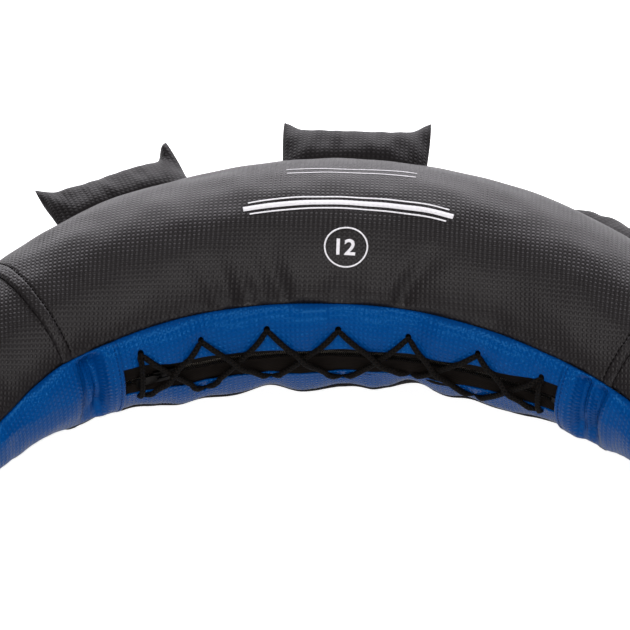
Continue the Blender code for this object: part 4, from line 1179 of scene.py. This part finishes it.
# Each pad lies in its own way: its fold, how far its hem and its free edge lie along the seam, how far its two
# free corners turn up, and how far its right ear curls
PADS = (
    ("left", -18.0, 0.0050, 0.0105, 0.0110, 0.0050, 0.0100),
    ("middle", -4.0, 0.0, 0.0, 0.0050, 0.0085, 0.0),
    ("right", -44.0, -0.0085, -0.0085, 0.0, 0.0, 0.0),
)
for label, pitch, shift, skew, left_up, right_up, ear_curl in PADS:
    joint = JOINTS[f"pad_{label}_fold"]
    matrix = pad_frame(joint, pitch) @ Matrix.Translation((shift, 0.0, 0.0))
    shape = PAD_SHAPE.copy()
    u = shape[:, 0] / (PAD_WIDTH / 2)
    v = np.clip(shape[:, 1] / PAD_LENGTH, 0, 1)
    shape[:, 2] += np.where(u < 0, left_up, right_up) * np.abs(u) ** 3.0 * v**1.4
    shape[:, 0] += (skew - shift) * v
    curl = ear_curl * fade(u, 0.72, 0.93) * fade(v, 0.55, 0.95)
    shape[:, 2] += curl
    shape[:, 0] -= 0.25 * curl
    shape[:, 2] += 0.0005 * waves(shape[:, 0] * 2 + pitch * 0.1, shape[:, 1], 0.030, 83) * np.sin(math.pi * v)
    shape[:, 1] += 0.0006
    pad = new_mesh("stuffed_pad_" + label, [matrix @ Vector(p) for p in shape], PAD_FACES, PAD_PLACES)
    smooth = pad.modifiers.new("Smooth", "SUBSURF")
    smooth.levels = smooth.render_levels = 1
    piece(pad, "pad_" + label, PAD_CLOTH, ["grip_" + label], 70.0)
    # the strip of cover that holds the pad in the seam
    columns = np.linspace(-1, 1, 49)
    seam_half, hem_half = PAD_WIDTH / 2 - 0.0044, PAD_WIDTH / 2 - 0.0040
    fold = Vector(joint["pos_m"])
    seam_middle = math.atan2(*(PLACE.inverted() @ fold).to_2d()) + shift / OUTER_RADIUS
    rows = []
    for x in columns:
        seam = Vector(skin(seam_middle + x * seam_half / OUTER_RADIUS, 0.0, -0.0006))
        hem = matrix @ Vector((x * hem_half, 0.0026, 0.0))
        rows.append([seam.lerp(hem, t) for t in np.linspace(0, 1, 9)])
    places = np.stack(np.meshgrid(np.linspace(0, 0.010, 9), columns * seam_half), -1)[..., ::-1]
    tab = new_mesh("pad_strip_" + label, rows, grid_faces(len(columns), 9), places)
    solidify(tab, 0.0016, 0.0)
    apply_modifiers(tab)
    tab.data.materials.append(PAD_CLOTH)
    tab.data.shade_smooth()
    out = NORMAL.cross(Vector(joint["axis"])).normalized()
    start, end = fold - out * 0.0050, fold + (matrix.to_3x3() @ Vector((0, 1, 0))) * 0.0022
    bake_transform(tab)
    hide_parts("grip_tab_" + label)


# The print, laid on the cover
for name, half, low, high, turn in (
    ("print_stripe_long_1", 0.070, 0.0050, 0.0062, LONG_TURN),
    ("print_stripe_long_2", 0.074, -0.0022, 0.0022, LONG_TURN),
    ("print_stripe_long_3", 0.070, -0.0062, -0.0050, LONG_TURN),
    ("print_stripe_short_1", 0.046, 0.0030, 0.0040, SHORT_TURN),
    ("print_stripe_short_2", 0.046, -0.0040, -0.0030, SHORT_TURN),
):
    printed(name, *stripe(half, low, high), turn)
printed("print_ring", *ring((0.0142, 0.0147, 0.0153)), RING_TURN)
printed("print_number", *digits("12", 0.0165), RING_TURN)


# The necks and handles


def handle_axes(side):
    """Start of the handle, the way along it, and two ways across it."""
    angle = side * NECK_ANGLE
    outward = PLACE.to_3x3() @ Vector((math.sin(angle), math.cos(angle), 0.0))
    middle = Vector(skin(angle, 0.0)) - outward * float(halves(angle)[0])
    along = PLACE.to_3x3() @ Vector((side * math.cos(angle), -side * math.sin(angle), 0.0))
    return middle, along.normalized(), NORMAL, along.cross(NORMAL).normalized()


def round_sheet(name, node, material, side, stations, radius_at, sides, thickness):
    """A sleeve or band round the handle's axis."""
    middle, along, up, across = handle_axes(side)
    turns = np.linspace(0, FULL_TURN, sides, endpoint=False)
    points, places = [], []
    for s in stations:
        for t, r in zip(turns, radius_at(s, turns, side)):
            points.append(middle + along * s + (up * math.cos(t) + across * math.sin(t)) * r)
            places.append((s, t * HANDLE_RADIUS))
    obj = new_mesh(name, points, grid_faces(len(stations), sides, True), places)

    def looks_in(faces):
        away = faces[0].calc_center_median() - middle
        return faces[0].normal.dot(away - along * away.dot(along)) < 0

    face_out(obj, looks_in)
    solidify(obj, thickness)
    piece(obj, "bag", material, [node], 50.0)


def sleeve_radius(s, turns, side):
    edge = bell(s - HANDLE_START, 0.0012) + bell(s - HANDLE_START - HANDLE_LENGTH, 0.0012)
    seam = np.minimum(np.abs(turns - math.pi), 9.0) * HANDLE_RADIUS
    slack = 0.00022 * waves(s + 0 * turns, turns * 0.02, 0.018, 91 + side)
    sewn_in = 0.0009 * bell(seam, 0.0011)
    return HANDLE_RADIUS - 0.0004 + slack - 0.0006 * edge - sewn_in + 0.0004 * bell(seam - 0.003, 0.0016)


def strap_radius(s, turns, side):
    edge = bell(s - STRAP_START, 0.0010) + bell(s - STRAP_START - STRAP_WIDTH, 0.0010)
    doubled = 0.0012 * fade(-np.abs(turns - 1.1), -0.55, -0.50)
    slack = 0.0001 * waves(s + 0 * turns, turns * 0.02, 0.02, 97 + side)
    return STRAP_RADIUS + STRAP_THICKNESS + doubled - 0.0004 * edge + slack


def on_round(side, s, turn, radius_at):
    """A point on a sleeve or band, with the way out of it."""
    middle, along, up, across = handle_axes(side)
    out = up * math.cos(turn) + across * math.sin(turn)
    return middle + along * s + out * float(radius_at(s, np.array([turn]), side)[0]), out


HANDLE_END = HANDLE_START + HANDLE_LENGTH
STRAP_STITCHES = (STRAP_START + 0.003, STRAP_START + STRAP_WIDTH - 0.003)
for label, side in SIDES:
    stations = crowded(HANDLE_START, HANDLE_END, 60, 0.004, 0.004)
    name, node = "handle_cover_" + label, "handle_sleeve_" + label
    round_sheet(name, node, BLACK_CLOTH, side, stations, sleeve_radius, 96, SKIN)
    stations = crowded(STRAP_START, STRAP_START + STRAP_WIDTH, 16, 0.002, 0.002, 3)
    name, node = "strap_webbing_" + label, "neck_strap_" + label
    round_sheet(name, node, WEBBING, side, stations, strap_radius, 128, STRAP_THICKNESS)
    across, along = np.linspace(0.72, 1.48, 30), np.linspace(*STRAP_STITCHES, 16)
    rows = [[on_round(side, s, t, strap_radius) for t in across] for s in STRAP_STITCHES]
    rows += [[on_round(side, s, t, strap_radius) for s in along] for t in (0.72, 1.48)]
    stitch_rows("strap_stitches_" + label, rows, BLACK_THREAD, 0.0003, 0.0022, 0.0028)
    along = np.linspace(NECK_LENGTH + 0.002, HANDLE_END - 0.003, 60)
    rows = [[on_round(side, s, t, sleeve_radius) for s in along] for t in (math.pi - 0.13, math.pi + 0.13)]
    rows.append([on_round(side, HANDLE_END - 0.006, t, sleeve_radius) for t in np.linspace(0, FULL_TURN, 90)])
    stitch_rows("handle_stitches_" + label, rows, BLACK_THREAD, 0.0003)


# The sacks and wadding inside, which follow the relief well below it


def filling(name, node, start, end, count, side, inset, steps=72):
    """A closed sack from one angle to another."""
    angles = np.linspace(start, end, count) * side
    grid, around = np.meshgrid(np.sort(angles), np.linspace(0, FULL_TURN, steps, endpoint=False), indexing="ij")
    room = np.clip(1 - (np.abs(around - math.pi) - 0.42) / 0.35, 0, 1) * np.clip((0.60 - np.abs(grid)) / 0.06, 0, 1)
    points = skin(grid, around, relief(grid, around) - (inset + 0.0080 * room))
    faces = grid_faces(count, steps, True)
    faces.append(tuple(range(steps))[::-1])
    faces.append(tuple(range((count - 1) * steps, count * steps)))
    piece(new_mesh(name, points, faces), "bag", SACKING, [node], 50.0)


SACK_END = math.radians(33.0)
WADDING_START = math.radians(62.0)
CORE_START = NECK_ANGLE - 0.0105 / HORN_RADIUS
filling("inner_sack_middle", "sand_sack_middle", -SACK_END, SACK_END, 60, 1, 0.0045)
for label, side in SIDES:
    name, node = "inner_sack_" + label, "sand_sack_" + label
    filling(name, node, SACK_END + 0.002, WADDING_START, 30, side, 0.0065)
    name, node = "inner_wadding_" + label, "wadding_" + label
    filling(name, node, WADDING_START + 0.002, CORE_START, 16, side, 0.0060)


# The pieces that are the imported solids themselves

CARRIED = (
    (DARK_METAL, ("zip_stop_left", "zip_stop_right", "zip_slider", "zip_pull")),
    (CORD, ("lace_knot_start", "lace_knot_end")),
    (FOAM, ("handle_foam_left", "handle_foam_right")),
    (PLASTIC, ("handle_core_left", "handle_core_right")),
    (RUBBER, ("handle_cap_left", "handle_cap_right")),
)
for material, names in CARRIED:
    for name in names:
        node = frame["nodes"][name]
        node.data.materials.clear()
        node.data.materials.append(material)
for names, width, segments in (
    (("zip_slider", "zip_pull"), 0.00025, 2),
    (("handle_cap_left", "handle_cap_right"), 0.0005, 3),
):
    for name in names:
        round_off = frame["nodes"][name].modifiers.new("Edges", "BEVEL")
        round_off.width = width
        round_off.segments = segments
        round_off.limit_method = "ANGLE"


# Floor, light and camera

MIRRORED_SHARE = 0.21
FLOOR_GLOW = 0.86
WORLD_LIGHT = 0.22
FLOOR_HALF = 6.0


def seen_rays(tree):
    """How much the pale surroundings show: in full to the camera, and in part to what mirrors them."""
    path = tree.nodes.new("ShaderNodeLightPath")
    seen = path.outputs["Is Camera Ray"]
    for name, share in (("Is Glossy Ray", MIRRORED_SHARE), ("Is Transmission Ray", 1.0)):
        part = tree.nodes.new("ShaderNodeMath")
        part.operation = "MULTIPLY_ADD"
        tree.links.new(path.outputs[name], part.inputs[0])
        part.inputs[1].default_value = share
        tree.links.new(seen, part.inputs[2])
        seen = part.outputs[0]
    return seen


def floor_and_world():
    corners = [(x * FLOOR_HALF, y * FLOOR_HALF, 0) for x, y in ((-1, -1), (1, -1), (1, 1), (-1, 1))]
    floor = new_mesh("floor", corners, [(0, 1, 2, 3)])
    floor.location.z = -0.0002
    n = Nodes("pale_floor")
    for socket, value in (("Base Color", (0.85, 0.85, 0.86, 1.0)), ("Roughness", 0.9), ("Specular IOR Level", 0.1)):
        n.set(n.shader, socket, value)
    floor.data.materials.append(n.material)
    glow = n.add("Emission", Strength=FLOOR_GLOW)
    both, mix = n.add("AddShader"), n.add("MixShader")
    n.tree.links.new(seen_rays(n.tree), mix.inputs[0])
    for start, end in (
        (n.shader, both.inputs[0]),
        (glow, both.inputs[1]),
        (n.shader, mix.inputs[1]),
        (both, mix.inputs[2]),
        (mix, n.tree.nodes["Material Output"].inputs["Surface"]),
    ):
        n.tree.links.new(start.outputs[0], end)
    world = bpy.data.worlds.new("studio")
    bpy.context.scene.world = world
    world.use_nodes = True
    nodes, links = world.node_tree.nodes, world.node_tree.links
    back = nodes["Background"]
    back.inputs["Color"].default_value = (1.0, 1.0, 1.0, 1.0)
    back.inputs["Strength"].default_value = WORLD_LIGHT
    seen = nodes.new("ShaderNodeBackground")
    seen.inputs["Strength"].default_value = 1.0
    mix = nodes.new("ShaderNodeMixShader")
    links.new(seen_rays(world.node_tree), mix.inputs[0])
    links.new(back.outputs[0], mix.inputs[1])
    links.new(seen.outputs[0], mix.inputs[2])
    links.new(mix.outputs[0], nodes["World Output"].inputs["Surface"])


def lamp(name, place, aim, size, power, colour):
    light = bpy.data.lights.new(name, "AREA")
    light.color = colour
    light.shape = "RECTANGLE"
    light.size, light.size_y = size
    light.energy = power
    obj = add_object(name, light)
    obj.location = place
    obj.rotation_euler = (Vector(aim) - Vector(place)).to_track_quat("-Z", "Y").to_euler()


floor_and_world()
lamp("rear", (0.0, 2.0, 0.95), (0.0, 0.10, 0.05), (3.2, 1.5), 66.0, (0.97, 0.94, 1.0))
lamp("front", (0.0, -2.0, 0.80), (0.0, 0.0, 0.05), (2.8, 0.10), 22.0, (1.0, 0.99, 1.0))
lamp("above", (0.0, -0.6, 2.1), (0.0, 0.0, 0.05), (1.3, 1.3), 28.0, (1.0, 0.97, 0.97))


CAMERA_AZIMUTH = math.radians(2.805)
CAMERA_ELEVATION = math.radians(42.784)
CAMERA_DISTANCE = 2.856
FOCAL_PIXELS = 4023.0
PICTURE = 630.0
SENSOR = 36.0
AIM = Vector((0.0, MIDDLE_RADIUS, 0.0))
AIM_PIXEL = (347.15, 270.8)


def make_camera():
    turn = PLACE.to_3x3()
    az, el = CAMERA_AZIMUTH, CAMERA_ELEVATION
    back = turn @ Vector((math.sin(az) * math.cos(el), -math.cos(az) * math.cos(el), math.sin(el)))
    right = turn @ Vector((math.cos(az), math.sin(az), 0.0))
    up = back.cross(right)
    basis = Matrix((right, up, back)).transposed()
    x = (AIM_PIXEL[0] - PICTURE / 2) / FOCAL_PIXELS
    y = (PICTURE / 2 - AIM_PIXEL[1]) / FOCAL_PIXELS
    offset = Vector((x, y, -1.0)).normalized().rotation_difference(Vector((0.0, 0.0, -1.0))).to_matrix()
    matrix = (basis @ offset).to_4x4()
    matrix.translation = PLACE @ AIM + back * CAMERA_DISTANCE
    data = bpy.data.cameras.new("camera")
    data.sensor_width = SENSOR
    data.lens = FOCAL_PIXELS / PICTURE * SENSOR
    data.clip_end = 50.0
    camera = add_object("camera", data)
    camera.matrix_world = matrix
    bpy.context.scene.camera = camera


make_camera()
bpy.context.scene.view_settings.view_transform = "Standard"
